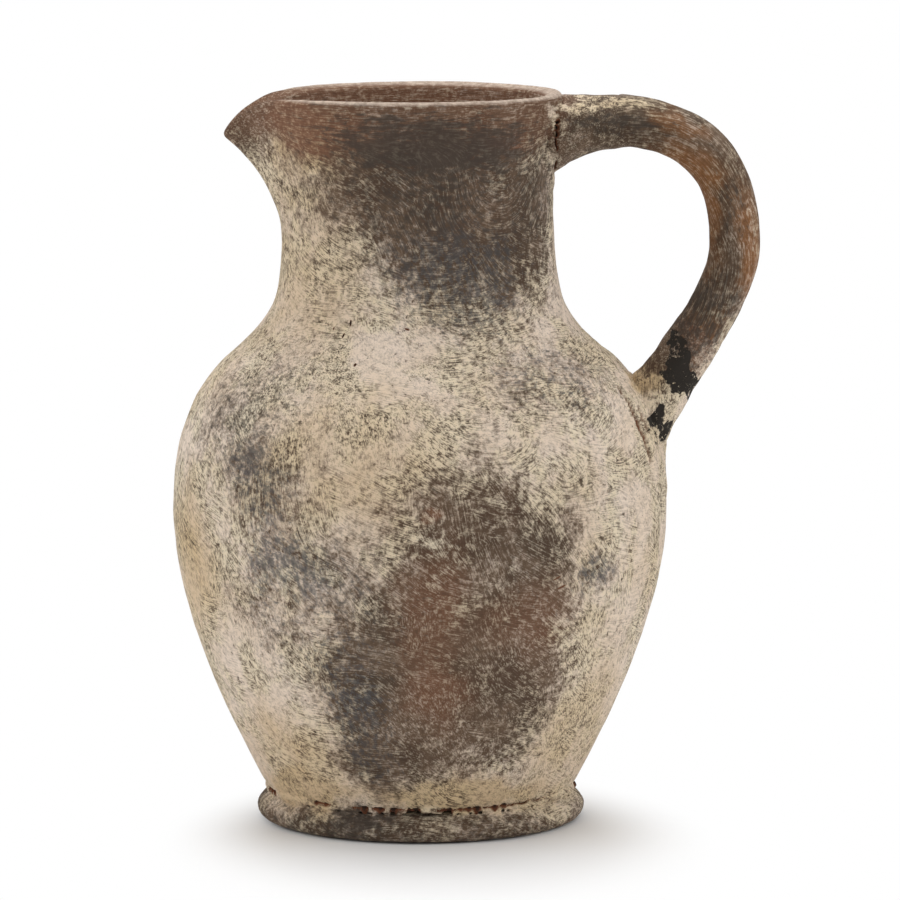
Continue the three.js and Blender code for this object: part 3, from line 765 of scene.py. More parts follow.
def clay_material(scene, name, slip_change=0.0, ochre_change=0.0, lean=0.75, spread=1.5, drift=1.2,
                  stretch=1.0, along=None, rust_clay=None):
    """One clay surface. The changes are what its own place adds to the masks that the whole jug shares.
    The strokes go round the jug's axis, or along the attribute that is named in along. rust_clay is the
    colour of its clay where it fired red, if it has one of its own."""
    if name in bpy.data.materials:
        return bpy.data.materials[name]
    groups = shared_groups(scene)
    brush = scene.jug_brush
    material = bpy.data.materials.new(name)
    wiring = emptied(material)

    def stored(name, kind="Fac"):
        return wiring.add("ShaderNodeAttribute", attribute_name=name).outputs[kind]

    place = wiring.add("ShaderNodeTexCoord").outputs["Object"]
    laid = wiring.group(groups["fire_and_slip"], vector=place).outputs
    if along is None:
        followed = place
        turned = wiring.maths("SUBTRACT", 1.0, laid["Wiped"])
        drawn_out = wiring.weighed((laid["Wiped"], 2.5), start=1.0)
        leaned = leaning(wiring, place, lean)
    else:
        followed = stored(along, "Vector")
        turned, drawn_out, leaned = 1.0, stretch, lean

    def strokes(length, width, patch_scale, seed):
        node = wiring.group(
            groups["brush_strokes"], vector=followed, patch_size=brush.patch_size * patch_scale,
            stroke_length=wiring.maths("MULTIPLY", drawn_out, length), stroke_width=width,
            lean=wiring.maths("MULTIPLY", turned, leaned),
            spread=wiring.maths("MULTIPLY", turned, spread),
            drift=wiring.maths("MULTIPLY", turned, drift), seed=seed)
        return node.outputs["Strokes"]

    clouds = wiring.noise(place, 60, 4, 0.62).outputs["Fac"]
    dust = wiring.noise(place, 430, 4, 0.72).outputs["Fac"]
    inside = stored(INSIDE)
    handle_share = stored(HANDLE_SHARE)
    wiped = wiring.maths("MULTIPLY", laid["Wiped"], wiring.maths("SUBTRACT", 1.0, handle_share))
    slip = wiring.maths("ADD", laid["Slip"], slip_change)
    rust = wiring.weighed((wiped, 0.45), (inside, 0.3), start=laid["Rust"])
    clay = wiring.group(
        groups["weathered_clay"],
        slip=wiring.weighed((wiped, -0.95), (handle_share, -0.92), (inside, -0.4), start=slip),
        soot=laid["Soot"],
        rust=wiring.maths("ADD", rust, 0.0, clamp=True),
        ochre=wiring.maths("ADD", laid["Ochre"], ochre_change, clamp=True),
        slate=laid["Slate"],
        grain=strokes(brush.grain_length, brush.grain_width, 0.6, 0.7),
        hatch=strokes(brush.hatch_length, brush.hatch_width, 1.0, 0.0),
        blots=strokes(brush.blot_length, brush.blot_width, 1.2, 1.9),
        dust=wiring.spread(dust, 0.3, 0.7),
        crack=wiring.maths("ADD", laid["Pits"], stored(CRACK)),
        flakes=laid["Flakes"], crest=laid["Crest"], clouds=clouds, softness=brush.softness)
    if rust_clay is not None:
        clay.inputs["Rust clay"].default_value = (*rust_clay, 1)
    bump = wiring.add("ShaderNodeBump", {
        "Height": clay.outputs["Height"], "Strength": 1.0, "Distance": scene.jug_shape.brush_relief})
    shader = wiring.add("ShaderNodeBsdfPrincipled", {
        "Base Color": clay.outputs["Color"], "Roughness": clay.outputs["Roughness"],
        "Normal": bump.outputs["Normal"], "Specular IOR Level": 0.22})
    wiring.add("ShaderNodeOutputMaterial", {"Surface": shader.outputs["BSDF"]})
    return material


# Thrown wall

# Rounding the facets draws the surface in by about this much
ROUNDING_LOSS = 0.0007


def make_wall(scene):
    """Belly, shoulder, neck, lip and beak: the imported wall, rounded, with the marks of throwing."""
    shape = scene.jug_shape
    wall = node_copy("body_wall", "thrown_wall")
    modify(wall, "SUBSURF", levels=shape.wall_rounds, render_levels=shape.wall_rounds)
    weigh(wall, "outside", outwardness)
    weigh(wall, "within", lambda place, normal: 1 - outwardness(place, normal))
    modify(wall, "DISPLACE", strength=ROUNDING_LOSS, mid_level=0, vertex_group="outside")
    knead(wall, depth=shape.unevenness, grain=(0.06, 0.06, 0.04), inward=0.7)
    rings = shape.throwing_depth
    knead(wall, depth=rings, grain=(0.5, 0.5, 0.013), inward=0.6, group="outside", shift=0.3)
    knead(wall, depth=shape.inner_throwing_depth, grain=(0.4, 0.4, 0.012), group="within", shift=0.7)
    knead(wall, depth=rings, grain=(0.011, 0.011, 0.009), inward=0.6, group="outside", shift=0.1)
    keep_within(wall)
    mark(wall, INSIDE, lambda place, normal: 1 - outwardness(place, normal))
    material = clay_material(scene, "weathered_slipped_clay")
    finish_piece(wall, material, "slipped_clay", "body_wall")


# Pad foot

PAD_SIDES = 160
PAD_PROFILE = (
    (0.012, 0), (0.024, 0), (0.036, 0), (0.047, 0), (0.0552, 0), (0.0576, 0.0001), (0.0594, 0.0008),
    (0.0607, 0.0021), (0.0612, 0.0036), (0.0611, 0.0052), (0.0603, 0.0069), (0.0591, 0.0083),
    (0.0574, 0.0095), (0.0552, 0.0104), (0.051, 0.0112), (0.04, 0.0115), (0.026, 0.0115),
    (0.012, 0.0115),
)


def start_disc(name, **shape):
    """A disc, left in edit mode with all of it selected, to extrude a body from."""
    deselect_all()
    bpy.ops.mesh.primitive_circle_add(fill_type="TRIFAN", **shape)
    piece = bpy.context.object
    piece.name = name
    bpy.ops.object.transform_apply(location=True, rotation=True, scale=True)
    edit(piece)
    bpy.ops.mesh.select_mode(type="EDGE")
    bpy.ops.mesh.select_all(action="SELECT")
    return piece


def close_end():
    """Closes the open end of an extruded body, and leaves edit mode."""
    bpy.ops.mesh.edge_face_add()
    bpy.ops.mesh.poke()
    bpy.ops.mesh.select_all(action="SELECT")
    bpy.ops.mesh.normals_make_consistent(inside=False)
    leave_edit()


def extruded_rings(name, sides, profile):
    """A closed body of revolution, extruded ring by ring from a circle up its profile."""
    radius, height = profile[0]
    piece = start_disc(name, vertices=sides, radius=radius, location=(0, 0, height))
    bpy.ops.mesh.region_to_loop()
    for next_radius, next_height in profile[1:]:
        bpy.ops.mesh.extrude_edges_move(
            TRANSFORM_OT_translate={"value": (0, 0, next_height - height)})
        ratio = next_radius / radius
        bpy.ops.transform.resize(value=(ratio, ratio, 1), center_override=(0, 0, next_height))
        radius, height = next_radius, next_height
    close_end()
    return piece


def make_pad(scene):
    """The pad foot: a beaten disc of clay, cut from the wheel with a wire."""
    pad = extruded_rings("pad_foot", PAD_SIDES, PAD_PROFILE)
    modify(pad, "SUBSURF", levels=1, render_levels=1)
    weigh(pad, "edge", lambda place, normal: smoothstep(normal.xy.length, 0.2, 0.7))
    knead(pad, depth=0.0008, grain=(0.02, 0.02, 0.012), inward=0.75, group="edge", shift=0.2)
    knead(pad, depth=0.0005, grain=(0.005, 0.005, 0.004), inward=0.7, group="edge", shift=0.5)
    weigh(pad, "underside", lambda place, normal: smoothstep(-normal.z, 0.8, 0.98))
    knead(pad, depth=0.0006, grain=(0.3, 0.003, 0.3), inward=1.0, group="underside", shift=0.4)
    material = clay_material(scene, "weathered_foot_clay", lean=0.2, spread=0.8)
    finish_piece(pad, material, "foot_clay", "base_pad")


# Pulled handle

HANDLE_SIDES = 40
HANDLE_STEPS = 104

# How far inside the wall's skin the handle's ends are cut off
CUTTER_DEPTH = 0.0026


def wall_reach(height):
    """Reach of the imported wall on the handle's side at one height."""
    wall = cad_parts["body_wall"]
    tree = BVHTree.FromPolygons(
        [v.co for v in wall.data.vertices], [tuple(p.vertices) for p in wall.data.polygons])
    return tree.ray_cast(Vector((1, 0, height)), Vector((-1, 0, 0)))[0].x


def spine_curve():
    """The handle's spine as a curve from inside the neck, over the bend, to inside the shoulder."""
    root = Vector((wall_reach(ROOT_HEIGHT), 0, ROOT_HEIGHT))
    leaving = Vector((math.cos(ROOT_RISE), 0, math.sin(ROOT_RISE)))
    bend = Vector((BEND_POINT[0], 0, BEND_POINT[1]))
    foot = Vector((wall_reach(FOOT_HEIGHT), 0, FOOT_HEIGHT))
    landing = Vector((-math.cos(FOOT_SLOPE), 0, -math.sin(FOOT_SLOPE)))
    start, past_start = root - leaving * ROOT_EMBED, root - leaving * ROOT_EMBED * 0.5
    end, before_end = foot + landing * FOOT_EMBED, foot + landing * FOOT_EMBED * 0.5
    stops = (
        (start, start, past_start),
        (root, past_start, root + leaving * ROOT_PULL),
        (bend, bend + Vector((0, 0, BEND_RISE)), bend - Vector((0, 0, BEND_FALL))),
        (foot, foot - landing * FOOT_PULL, before_end),
        (end, before_end, end),
    )
    deselect_all()
    bpy.ops.curve.primitive_bezier_curve_add()
    spine = bpy.context.object
    spine.data.dimensions = "3D"
    spine.data.twist_mode = "MINIMUM"
    spine.data.resolution_u = 48
    points = spine.data.splines[0].bezier_points
    points.add(len(stops) - len(points))
    for point, (place, before, after) in zip(points, stops):
        point.handle_left_type = point.handle_right_type = "FREE"
        point.co, point.handle_left, point.handle_right = place, before, after
    return spine


def handle_section(distance, full, shape):
    """Half sizes of the section over, under and beside the spine, at a distance from its start."""
    root = math.exp(-max(0, distance - ROOT_EMBED) / ROOT_FLARE["length"])
    foot = math.exp(-max(0, full - FOOT_EMBED - distance) / FOOT_FLARE["length"])
    return (
        shape.handle_thickness / 2,
        shape.handle_thickness / 2 + ROOT_FLARE["under"] * root + FOOT_FLARE["under"] * foot,
        shape.handle_width / 2 + ROOT_FLARE["side"] * root + FOOT_FLARE["side"] * foot,
    )


def make_handle(scene):
    """The pulled handle: a straight rod extruded ring by ring, kneaded, then bent along its spine."""
    shape = scene.jug_shape
    spine = spine_curve()
    full = spine.data.splines[0].calc_length()
    rod = start_disc("pulled_handle", vertices=HANDLE_SIDES, radius=1, rotation=(0, math.pi / 2, 0))
    over, under, side = handle_section(0, full, shape)
    bpy.ops.transform.resize(value=(1, side, (over + under) / 2), center_override=(0, 0, 0))
    bpy.ops.transform.translate(value=(0, 0, (over - under) / 2))
    bpy.ops.mesh.region_to_loop()
    for step in range(1, HANDLE_STEPS + 1):
        distance = full * step / HANDLE_STEPS
        was_over, was_under, was_side = over, under, side
        over, under, side = handle_section(distance, full, shape)
        drop = (over - under - was_over + was_under) / 2
        bpy.ops.mesh.extrude_edges_move(
            TRANSFORM_OT_translate={"value": (full / HANDLE_STEPS, 0, drop)})
        bpy.ops.transform.resize(
            value=(1, side / was_side, (over + under) / (was_over + was_under)),
            center_override=(distance, 0, (over - under) / 2))
    close_end()
    modify(rod, "SUBSURF", levels=1, render_levels=1)
    knead(rod, depth=0.0016, grain=(0.03, 0.03, 0.03), inward=0.62, shift=0.2)
    knead(rod, depth=0.0009, grain=(0.08, 0.006, 0.006), inward=0.6, shift=0.6)
    knead(rod, depth=0.0005, grain=(0.008, 0.005, 0.005), inward=0.6, shift=0.9)
    straight = [(vertex.co.y, vertex.co.z, vertex.co.x) for vertex in rod.data.vertices]
    modify(rod, "CURVE", object=spine, deform_axis="POS_X")
    bpy.data.objects.remove(spine)
    bent = KDTree(len(straight))
    for vertex in rod.data.vertices:
        bent.insert(vertex.co, vertex.index)
    bent.balance()
    core = wall_core("handle_cutter", CUTTER_DEPTH)
    modify(rod, "BOOLEAN", object=core, operation="DIFFERENCE", solver="EXACT")
    remove(core)
    places = rod.data.attributes.new(HANDLE_PLACE, "FLOAT_VECTOR", "POINT")
    for vertex, stored in zip(rod.data.vertices, places.data):
        stored.vector = straight[bent.find(vertex.co)[1]]
    mark_handle_share(rod)
    material = clay_material(
        scene, "weathered_handle_clay", lean=1.45, spread=0.25, drift=1.0, stretch=2.2,
        along=HANDLE_PLACE, rust_clay=scene.jug_colours.handle_rust)
    finish_piece(rod, material, "handle_clay", "handle")


def wall_core(name, depth):
    """The wall as a filled body, set in by depth and carried up past the lip, to cut others with."""
    core = node_copy("body_wall", name)
    edit(core)
    crest = RIM_HEIGHT - LIP_DEPTH
    select_faces(core, lambda centre, normal: outwardness(centre, normal) < 0.5 or centre.z > crest
                 or normal.z < -0.9)
    bpy.ops.mesh.delete(type="FACE")
    bpy.ops.mesh.select_all(action="SELECT")
    bpy.ops.transform.shrink_fatten(value=-depth)
    bpy.ops.mesh.select_mode(type="EDGE")
    bpy.ops.mesh.region_to_loop()
    leave_edit()
    for edge in core.data.edges:
        middle = (core.data.vertices[edge.vertices[0]].co + core.data.vertices[edge.vertices[1]].co) / 2
        edge.select = edge.select and middle.z > 0.1
    bpy.ops.object.mode_set(mode="EDIT")
    bpy.ops.mesh.extrude_edges_move(TRANSFORM_OT_translate={"value": (0, 0, 0.04)})
    bpy.ops.mesh.edge_face_add()
    bpy.ops.mesh.select_all(action="SELECT")
    bpy.ops.mesh.fill_holes(sides=0)
    bpy.ops.mesh.select_all(action="SELECT")
    bpy.ops.mesh.quads_convert_to_tris()
    bpy.ops.mesh.normals_make_consistent(inside=False)
    leave_edit()
    return core


# Luting clay

# How deep a patch of skin lies below the surface that it was taken from, and how thick it is made
PATCH_SUNK = 0.0004
PATCH_THICKNESS = 0.0036
STRIP_SUNK = 0.0003
STRIP_THICKNESS = 0.002

# How far wall and handle are pushed in below a joint, and how uneven its smeared clay is
SEAT_DEPTH = 0.003
SMEAR_DEPTH = 0.0016

# How far in and out from its centre a hollow takes hold, and how far the hollows of a row are scattered
HOLLOW_REACH = 0.006
HOLLOW_SCATTER = 0.0002

# A place in front of the jug, from which its surface is looked for
BEFORE_JUG = -0.2


def skin_patch(source, name, chosen, sunk, thickness):
    """A closed patch of another piece's skin, a little below its surface."""
    patch = mesh_copy(source, name)
    edit(patch)
    select_faces(patch, lambda centre, normal: not chosen(centre, normal))
    bpy.ops.mesh.delete(type="FACE")
    bpy.ops.mesh.select_all(action="SELECT")
    bpy.ops.transform.shrink_fatten(value=-sunk)
    leave_edit()
    modify(patch, "SOLIDIFY", thickness=thickness, offset=-1, use_rim=True)
    return patch


def smeared(name, pieces, grain, rounds):
    """Joins pieces into one body and smooths it, so that its inner corners fill as with pressed clay."""
    deselect_all()
    for piece in pieces:
        piece.select_set(True)
    bpy.context.view_layer.objects.active = pieces[0]
    bpy.ops.object.join()
    joint = bpy.context.object
    joint.name = name
    joint.data.name = name
    modify(joint, "REMESH", mode="VOXEL", voxel_size=grain, use_smooth_shade=True)
    modify(joint, "SMOOTH", factor=0.5, iterations=rounds)
    return joint


def mark_handle_share(piece):
    """Stores how far each vertex stands off the thrown wall: 0 on it, 1 on the open handle."""
    wall = bpy.data.objects["thrown_wall"]
    tree = BVHTree.FromObject(wall, bpy.context.evaluated_depsgraph_get())
    mark(piece, HANDLE_SHARE, lambda place, _: smoothstep(tree.find_nearest(place)[3], 0.001, 0.009))


def carve(piece, hollows, depth, shade=1, across=None):
    """Sinks soft-edged hollows, each given by its centre, half width and half height. Their width lies
    round the jug, or along the level direction given in across. shade is how dark their floors are
    painted, from the colour of a crack's edge at 0.5 to the near-black painted shade of a deep crack's
    floor at 1."""
    deepest = {}
    for centre, half_width, half_height in hollows:
        level = across or Vector((-centre.y, centre.x, 0)).normalized()
        outward = Vector((level.y, -level.x, 0))
        for vertex in piece.data.vertices:
            offset = vertex.co - centre
            if abs(offset.dot(outward)) > HOLLOW_REACH or abs(offset.z) > 3 * half_height:
                continue
            distance = math.hypot(offset.dot(level) / half_width, offset.z / half_height)
            sunk = smoothstep(1.6 - distance, 0, 1.2)
            if sunk > deepest.get(vertex.index, 0):
                deepest[vertex.index] = sunk
    group = piece.vertex_groups.new(name="hollows")
    for index, sunk in deepest.items():
        group.add([index], sunk, "REPLACE")
    modify(piece, "DISPLACE", strength=-depth, mid_level=0, vertex_group="hollows")
    # The stored crack value darkens the hollows' floors as painted shade
    cracks = piece.data.attributes.new(CRACK, "FLOAT", "POINT")
    for index, sunk in deepest.items():
        cracks.data[index].value = sunk * shade


def make_joint(scene, name, node, centre, reach, squeeze, rounds, rows, depth, shade=1):
    """Luting clay pressed into the corner between the handle and the wall, and smeared out on both.
    It reaches 1 / squeeze as far round the jug. rows are rows of hollows as seen from the front, each
    from one reach and height to another, with half the width and height of one hollow."""
    wall, handle = bpy.data.objects["thrown_wall"], bpy.data.objects["pulled_handle"]

    def apart(place):
        offset = place - centre
        return Vector((offset.x, offset.y * squeeze, offset.z)).length

    def near(place, _normal):
        return apart(place) < reach

    def near_outside(place, normal):
        return apart(place) < reach and outwardness(place, normal) > 0.5

    pieces = [
        skin_patch(wall, "wall_patch", near_outside, PATCH_SUNK, PATCH_THICKNESS),
        skin_patch(handle, "handle_patch", near, PATCH_SUNK, PATCH_THICKNESS),
    ]
    joint = smeared(name, pieces, scene.jug_shape.joint_grain, rounds)
    graph = bpy.context.evaluated_depsgraph_get()
    skins = [BVHTree.FromObject(piece, graph) for piece in (wall, handle)]

    def seam(place, _normal):
        apart_from_both = sum(skin.find_nearest(place)[3] for skin in skins)
        return smoothstep(apart_from_both, 0.007, 0.002)

    weigh(joint, "smear", lambda place, _: smoothstep(apart(place), reach * 0.95, reach * 0.74))
    knead(joint, depth=SMEAR_DEPTH, grain=(0.012, 0.012, 0.012), inward=0.0, group="smear", shift=0.3)
    weigh(joint, "seam", seam)
    knead(joint, depth=0.0018, grain=(0.005, 0.005, 0.004), inward=0.35, group="seam", shift=0.8)
    surface = BVHTree.FromObject(joint, bpy.context.evaluated_depsgraph_get())
    inward = Vector((0, 1, 0))
    hollows = []
    for seed, (start, end, half_width, half_height) in enumerate(rows):
        ends = [
            surface.ray_cast(Vector((x * MM, BEFORE_JUG, z * MM)), inward)[0]
            for x, z in (start, end)
        ]
        hollows += hollow_chain(*ends, half_width * MM, half_height * MM, HOLLOW_SCATTER, seed)
    carve(joint, hollows, depth, shade, across=Vector((1, 0, 0)))
    mark_handle_share(joint)
    keep_within(joint)
    seat = node + "_seat"
    below_lip = RIM_HEIGHT - LIP_DEPTH

    def seated(place, _normal):
        return smoothstep(apart(place), reach * 0.84, reach * 0.7)

    def seated_outside(place, normal):
        clear_of_lip = smoothstep(place.z, below_lip, below_lip - 0.005)
        return outwardness(place, normal) * seated(place, normal) * clear_of_lip

    weigh(wall, seat, seated_outside)
    weigh(handle, seat, seated)
    for piece in (wall, handle):
        modify(piece, "DISPLACE", strength=-SEAT_DEPTH, mid_level=0, vertex_group=seat)
    material = clay_material(scene, "weathered_luting_clay", ochre_change=0.05)
    finish_piece(joint, material, "luting_clay", node)


def hollow_chain(start, end, half_width, half_height, jitter, seed):
    """Overlapping hollows in a ragged row from one place to another."""
    chance = random.Random(seed)
    count = max(2, round((end - start).length / (half_width + half_height)))
    row = []
    for step in range(count + 1):
        swing = Vector([chance.uniform(-jitter, jitter) for _ in range(3)])
        size = chance.uniform(0.6, 1.2)
        row.append((start.lerp(end, step / count) + swing, half_width * size, half_height * size))
    return row


def make_upper_joint(scene):
    """Clay round the handle's root, with an open slot and thin cracks on its front."""
    centre = Vector((wall_reach(ROOT_HEIGHT), 0, ROOT_HEIGHT))
    rows = (
        ((50.3, 260.8), (49.7, 256), 1.3, 1.3),
        ((49.4, 254), (50.2, 249.5), 0.4, 0.8),
        ((50, 246), (49.2, 241), 0.35, 0.6),
    )
    make_joint(
        scene, "upper_joint_clay", "upper_luting", centre,
        reach=0.031, squeeze=1, rounds=50, rows=rows, depth=0.0026)


def make_lower_joint(scene):
    """Clay smeared in a fan round the handle's foot, with long tool marks on its front."""
    centre = Vector((wall_reach(FOOT_HEIGHT) - 0.002, 0, FOOT_HEIGHT + 0.004))
    rows = (
        ((76.4, 158), (82.2, 145.4), 0.8, 1.2),
        ((82.2, 145), (84.4, 137), 0.6, 1.1),
        ((79.8, 156), (83.8, 147), 0.5, 1.0),
        ((72.6, 164), (75.4, 159.5), 0.45, 0.8),
    )
    make_joint(
        scene, "lower_joint_clay", "lower_luting", centre,
        reach=0.042, squeeze=0.75, rounds=16, rows=rows, depth=0.0016, shade=0.42)


# Where the crease has torn open: azimuth and height of both ends, in degrees and millimetres
TEARS = (
    (-42, 12.2, -36, 12.3), (-25, 12.3, -21, 12.4), (-17, 12.3, -15, 12.4), (-10, 12.4, -8, 12.4),
    (-4, 12.4, -2, 12.4), (7, 12.3, 21, 12.4), (11, 12.8, 16, 12.9), (24, 12.8, 33, 13),
    (34, 13.2, 45, 13.8), (37, 13.8, 42, 14), (46, 14.2, 52, 14.8), (54, 15.6, 66, 19),
    (84, 12.4, 97, 12.8), (126, 12.2, 141, 12.6), (170, 12.6, 196, 12.4), (233, 12.4, 250, 12.8),
    (283, 12.4, 290, 12.6),
)
TEAR_STEP = 4

# The crease's reach from the axis, its facets, and the heights of wall and pad that it covers
CREASE_RADIUS = 0.0585
CREASE_GRAIN = 0.00068
WALL_STRIP_TOP = 0.024
PAD_STRIP = (0.004, 0.0112)


def crease_place(part, start, start_height, end, end_height):
    """A place in the crease, part of the way along one of the TEARS."""
    turn = math.radians(start + (end - start) * part)
    height = (start_height + (end_height - start_height) * part) * MM
    return Vector((CREASE_RADIUS * math.sin(turn), -CREASE_RADIUS * math.cos(turn), height))


def make_crease(scene):
    """The roll of clay in the crease between the wall and the pad, pressed in all round."""
    wall, pad = bpy.data.objects["thrown_wall"], bpy.data.objects["pad_foot"]

    def on_wall(place, normal):
        return place.z < WALL_STRIP_TOP and outwardness(place, normal) > 0.5

    def on_pad(place, normal):
        return PAD_STRIP[0] < place.z < PAD_STRIP[1] and outwardness(place, normal) > 0.5

    pieces = [
        skin_patch(wall, "wall_strip", on_wall, STRIP_SUNK, STRIP_THICKNESS),
        skin_patch(pad, "pad_strip", on_pad, STRIP_SUNK, STRIP_THICKNESS),
        node_copy("base_luting_bead", "roll"),
    ]
    crease = smeared("crease_clay", pieces, CREASE_GRAIN, rounds=15)
    knead(crease, depth=0.0006, grain=(0.005, 0.005, 0.003), inward=0.6, shift=0.2)
    torn = []
    for number, tear in enumerate(TEARS):
        start, _, end, _ = tear
        steps = max(1, round((end - start) / TEAR_STEP))
        for step in range(steps):
            ends = [crease_place(part, *tear) for part in (step / steps, (step + 1) / steps)]
            torn += hollow_chain(
                *ends, half_width=0.0013, half_height=0.0012, jitter=0.0007, seed=number * 10 + step)
    carve(crease, torn, depth=0.0018, shade=0.76)
    material = clay_material(scene, "weathered_crease_clay", ochre_change=0.15, lean=0.1, spread=0.6)
    finish_piece(crease, material, "crease_clay", "base_luting_bead")


def make_floor_corner(scene):
    """The roll of clay pressed into the inside corner between floor and wall."""
    corner = node_copy("inner_base_luting", "floor_corner_clay")
    modify(corner, "REMESH", mode="VOXEL", voxel_size=0.0012, use_smooth_shade=True)
    modify(corner, "SMOOTH", factor=0.5, iterations=8)
    knead(corner, depth=0.0014, grain=(0.012, 0.012, 0.012), inward=0.8, shift=0.2)
    material = clay_material(scene, "weathered_inner_clay", slip_change=-0.4, lean=0.0, spread=0.5)
    finish_piece(corner, material, "inner_clay", "inner_base_luting")


# Stage

# Name, place, size and power of each lamp, and the point that all are aimed at
LAMPS = (
    ("soft_lamp_above", (0, 0.25, 1.7), 1.5, 21),
    ("soft_lamp_left", (-1.5, -0.6, 0.9), 1.2, 8.5),
    ("soft_lamp_right", (1.5, -0.6, 0.9), 1.2, 8.5),
)
LIT_POINT = Vector((0, 0, 0.12))
CAMERA_SHIFT = (0.0328, 0.0057)
CAMERA_RANGE = 20

# The ellipse in which the table takes shadows: its centre, half sizes, and where its soft edge lies
SHADOW_CENTRE = (0.006, -0.055, 0)
SHADOW_SIZE = (0.09, 0.13, 1)
SHADOW_EDGE = (0.62, 1.15)


def aimed(place, target):
    """The rotation of a lamp or camera at one place that looks at another."""
    return (Vector(target) - Vector(place)).to_track_quat("-Z", "Y").to_euler()


def add_lamp(name, place, size, power):
    deselect_all()
    bpy.ops.object.light_add(type="AREA", location=place)
    lamp = bpy.context.object
    lamp.name = name
    lamp.data.shape = "SQUARE"
    lamp.data.size = size
    lamp.data.energy = power
    lamp.rotation_euler = aimed(place, LIT_POINT)


def make_stage(scene):
    """Pale table, white surround, soft lamps and the camera."""
    settings = scene.jug_stage
    deselect_all()
    bpy.ops.mesh.primitive_plane_add(size=2 * settings.floor_reach, location=(0, 0, 0))
    table = bpy.context.object
    table.name = "table"
    material = bpy.data.materials.new("pale_table")
    wiring = emptied(material)
    place = wiring.add("ShaderNodeTexCoord").outputs["Object"]
    shadow = wiring.add("ShaderNodeMapping", {
        "Vector": place, "Location": SHADOW_CENTRE, "Scale": SHADOW_SIZE}, vector_type="TEXTURE")
    away = wiring.ramp(wiring.vector("LENGTH", shadow.outputs["Vector"]), *SHADOW_EDGE)
    seen = wiring.add("ShaderNodeLightPath").outputs["Is Camera Ray"]
    matte = wiring.add("ShaderNodeBsdfDiffuse", {"Color": (0.93, 0.93, 0.93)}).outputs[0]
    white = wiring.add("ShaderNodeEmission", {"Color": (1, 1, 1), "Strength": 1.0}).outputs[0]
    mixed = wiring.add("ShaderNodeMixShader", {
        0: wiring.maths("MULTIPLY", away, seen), 1: matte, 2: white}).outputs[0]
    wiring.add("ShaderNodeOutputMaterial", {"Surface": mixed})
    table.data.materials.append(material)

    world = bpy.data.worlds.new("white_surround")
    scene.world = world
    wiring = emptied(world)
    seen = wiring.add("ShaderNodeLightPath").outputs["Is Camera Ray"]
    glow = wiring.add("ShaderNodeBackground", {"Color": (1, 1, 1), "Strength": 0.4}).outputs[0]
    backdrop = wiring.add("ShaderNodeBackground", {"Color": (1, 1, 1), "Strength": 1.0}).outputs[0]
    mixed = wiring.add("ShaderNodeMixShader", {0: seen, 1: glow, 2: backdrop}).outputs[0]
    wiring.add("ShaderNodeOutputWorld", {"Surface": mixed})

    for lamp in LAMPS:
        add_lamp(*lamp)

    deselect_all()
    bpy.ops.object.camera_add(location=(0, -settings.camera_distance, settings.camera_height))
    camera = bpy.context.object
    camera.rotation_euler = aimed(camera.location, (0, 0, settings.aim_height))
    camera.data.lens = settings.lens
    camera.data.shift_x, camera.data.shift_y = CAMERA_SHIFT
    camera.data.clip_end = CAMERA_RANGE
    scene.camera = camera
    scene.view_settings.view_transform = "Standard"


# Operators and panel

class JugOperator:
    bl_options = {"REGISTER", "UNDO"}


class JUG_OT_thrown_wall(JugOperator, bpy.types.Operator):
    """Make the thrown wall: belly, shoulder, neck, lip and pinched beak"""
    bl_idname = "jug.thrown_wall"
    bl_label = "Thrown wall"

    def execute(self, context):
        make_wall(context.scene)
        return {"FINISHED"}


class JUG_OT_pad_foot(JugOperator, bpy.types.Operator):
    """Make the pad that is foot and floor in one"""
    bl_idname = "jug.pad_foot"
    bl_label = "Pad foot"

    def execute(self, context):
        make_pad(context.scene)
        return {"FINISHED"}


class JUG_OT_pulled_handle(JugOperator, bpy.types.Operator):
    """Make the pulled handle, seated on the wall"""
    bl_idname = "jug.pulled_handle"
    bl_label = "Pulled handle"

    def execute(self, context):
        make_handle(context.scene)
        return {"FINISHED"}


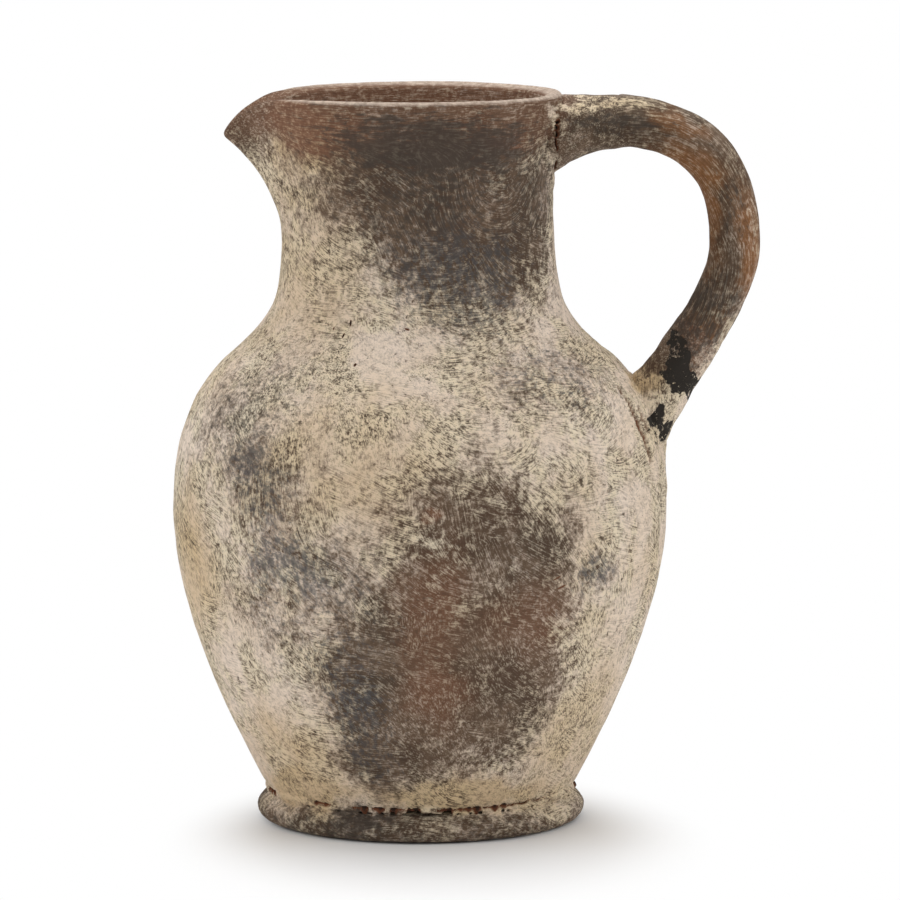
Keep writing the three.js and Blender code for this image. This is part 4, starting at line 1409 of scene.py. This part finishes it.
class JUG_OT_handle_joints(JugOperator, bpy.types.Operator):
    """Make the luting clay at both ends of the handle"""
    bl_idname = "jug.handle_joints"
    bl_label = "Handle joints"

    def execute(self, context):
        make_upper_joint(context.scene)
        make_lower_joint(context.scene)
        return {"FINISHED"}


class JUG_OT_base_luting(JugOperator, bpy.types.Operator):
    """Make the luting clay outside and inside the base"""
    bl_idname = "jug.base_luting"
    bl_label = "Base luting"

    def execute(self, context):
        make_crease(context.scene)
        make_floor_corner(context.scene)
        return {"FINISHED"}


class JUG_OT_stage(JugOperator, bpy.types.Operator):
    """Make the table, the white surround, the lamps and the camera"""
    bl_idname = "jug.stage"
    bl_label = "Stage"

    def execute(self, context):
        make_stage(context.scene)
        return {"FINISHED"}


class JUG_PT_panel(bpy.types.Panel):
    """Lists the jug's sizes, colours and pieces"""
    bl_idname = "JUG_PT_panel"
    bl_label = "Clay jug"
    bl_space_type = "VIEW_3D"
    bl_region_type = "UI"
    bl_category = "Jug"

    def draw(self, context):
        for settings in (context.scene.jug_shape, context.scene.jug_colours,
                         context.scene.jug_brush, context.scene.jug_stage):
            column = self.layout.column(align=True)
            for name in settings.__annotations__:
                column.prop(settings, name)
        for operator in OPERATORS:
            self.layout.operator(operator.bl_idname)


SETTINGS = {
    "jug_shape": JugShape,
    "jug_colours": JugColours,
    "jug_brush": JugBrush,
    "jug_stage": JugStage,
}
OPERATORS = (
    JUG_OT_thrown_wall, JUG_OT_pad_foot, JUG_OT_pulled_handle, JUG_OT_handle_joints,
    JUG_OT_base_luting, JUG_OT_stage,
)


def register():
    for cls in (*SETTINGS.values(), *OPERATORS, JUG_PT_panel):
        bpy.utils.register_class(cls)
    for name, cls in SETTINGS.items():
        setattr(bpy.types.Scene, name, PointerProperty(type=cls))


def unregister():
    for name in SETTINGS:
        delattr(bpy.types.Scene, name)
    for cls in (JUG_PT_panel, *reversed(OPERATORS), *reversed(SETTINGS.values())):
        bpy.utils.unregister_class(cls)


def main():
    register()
    for operator in OPERATORS:
        group, name = operator.bl_idname.split(".")
        getattr(getattr(bpy.ops, group), name)()
    deselect_all()


if __name__ == "__main__":
    main()
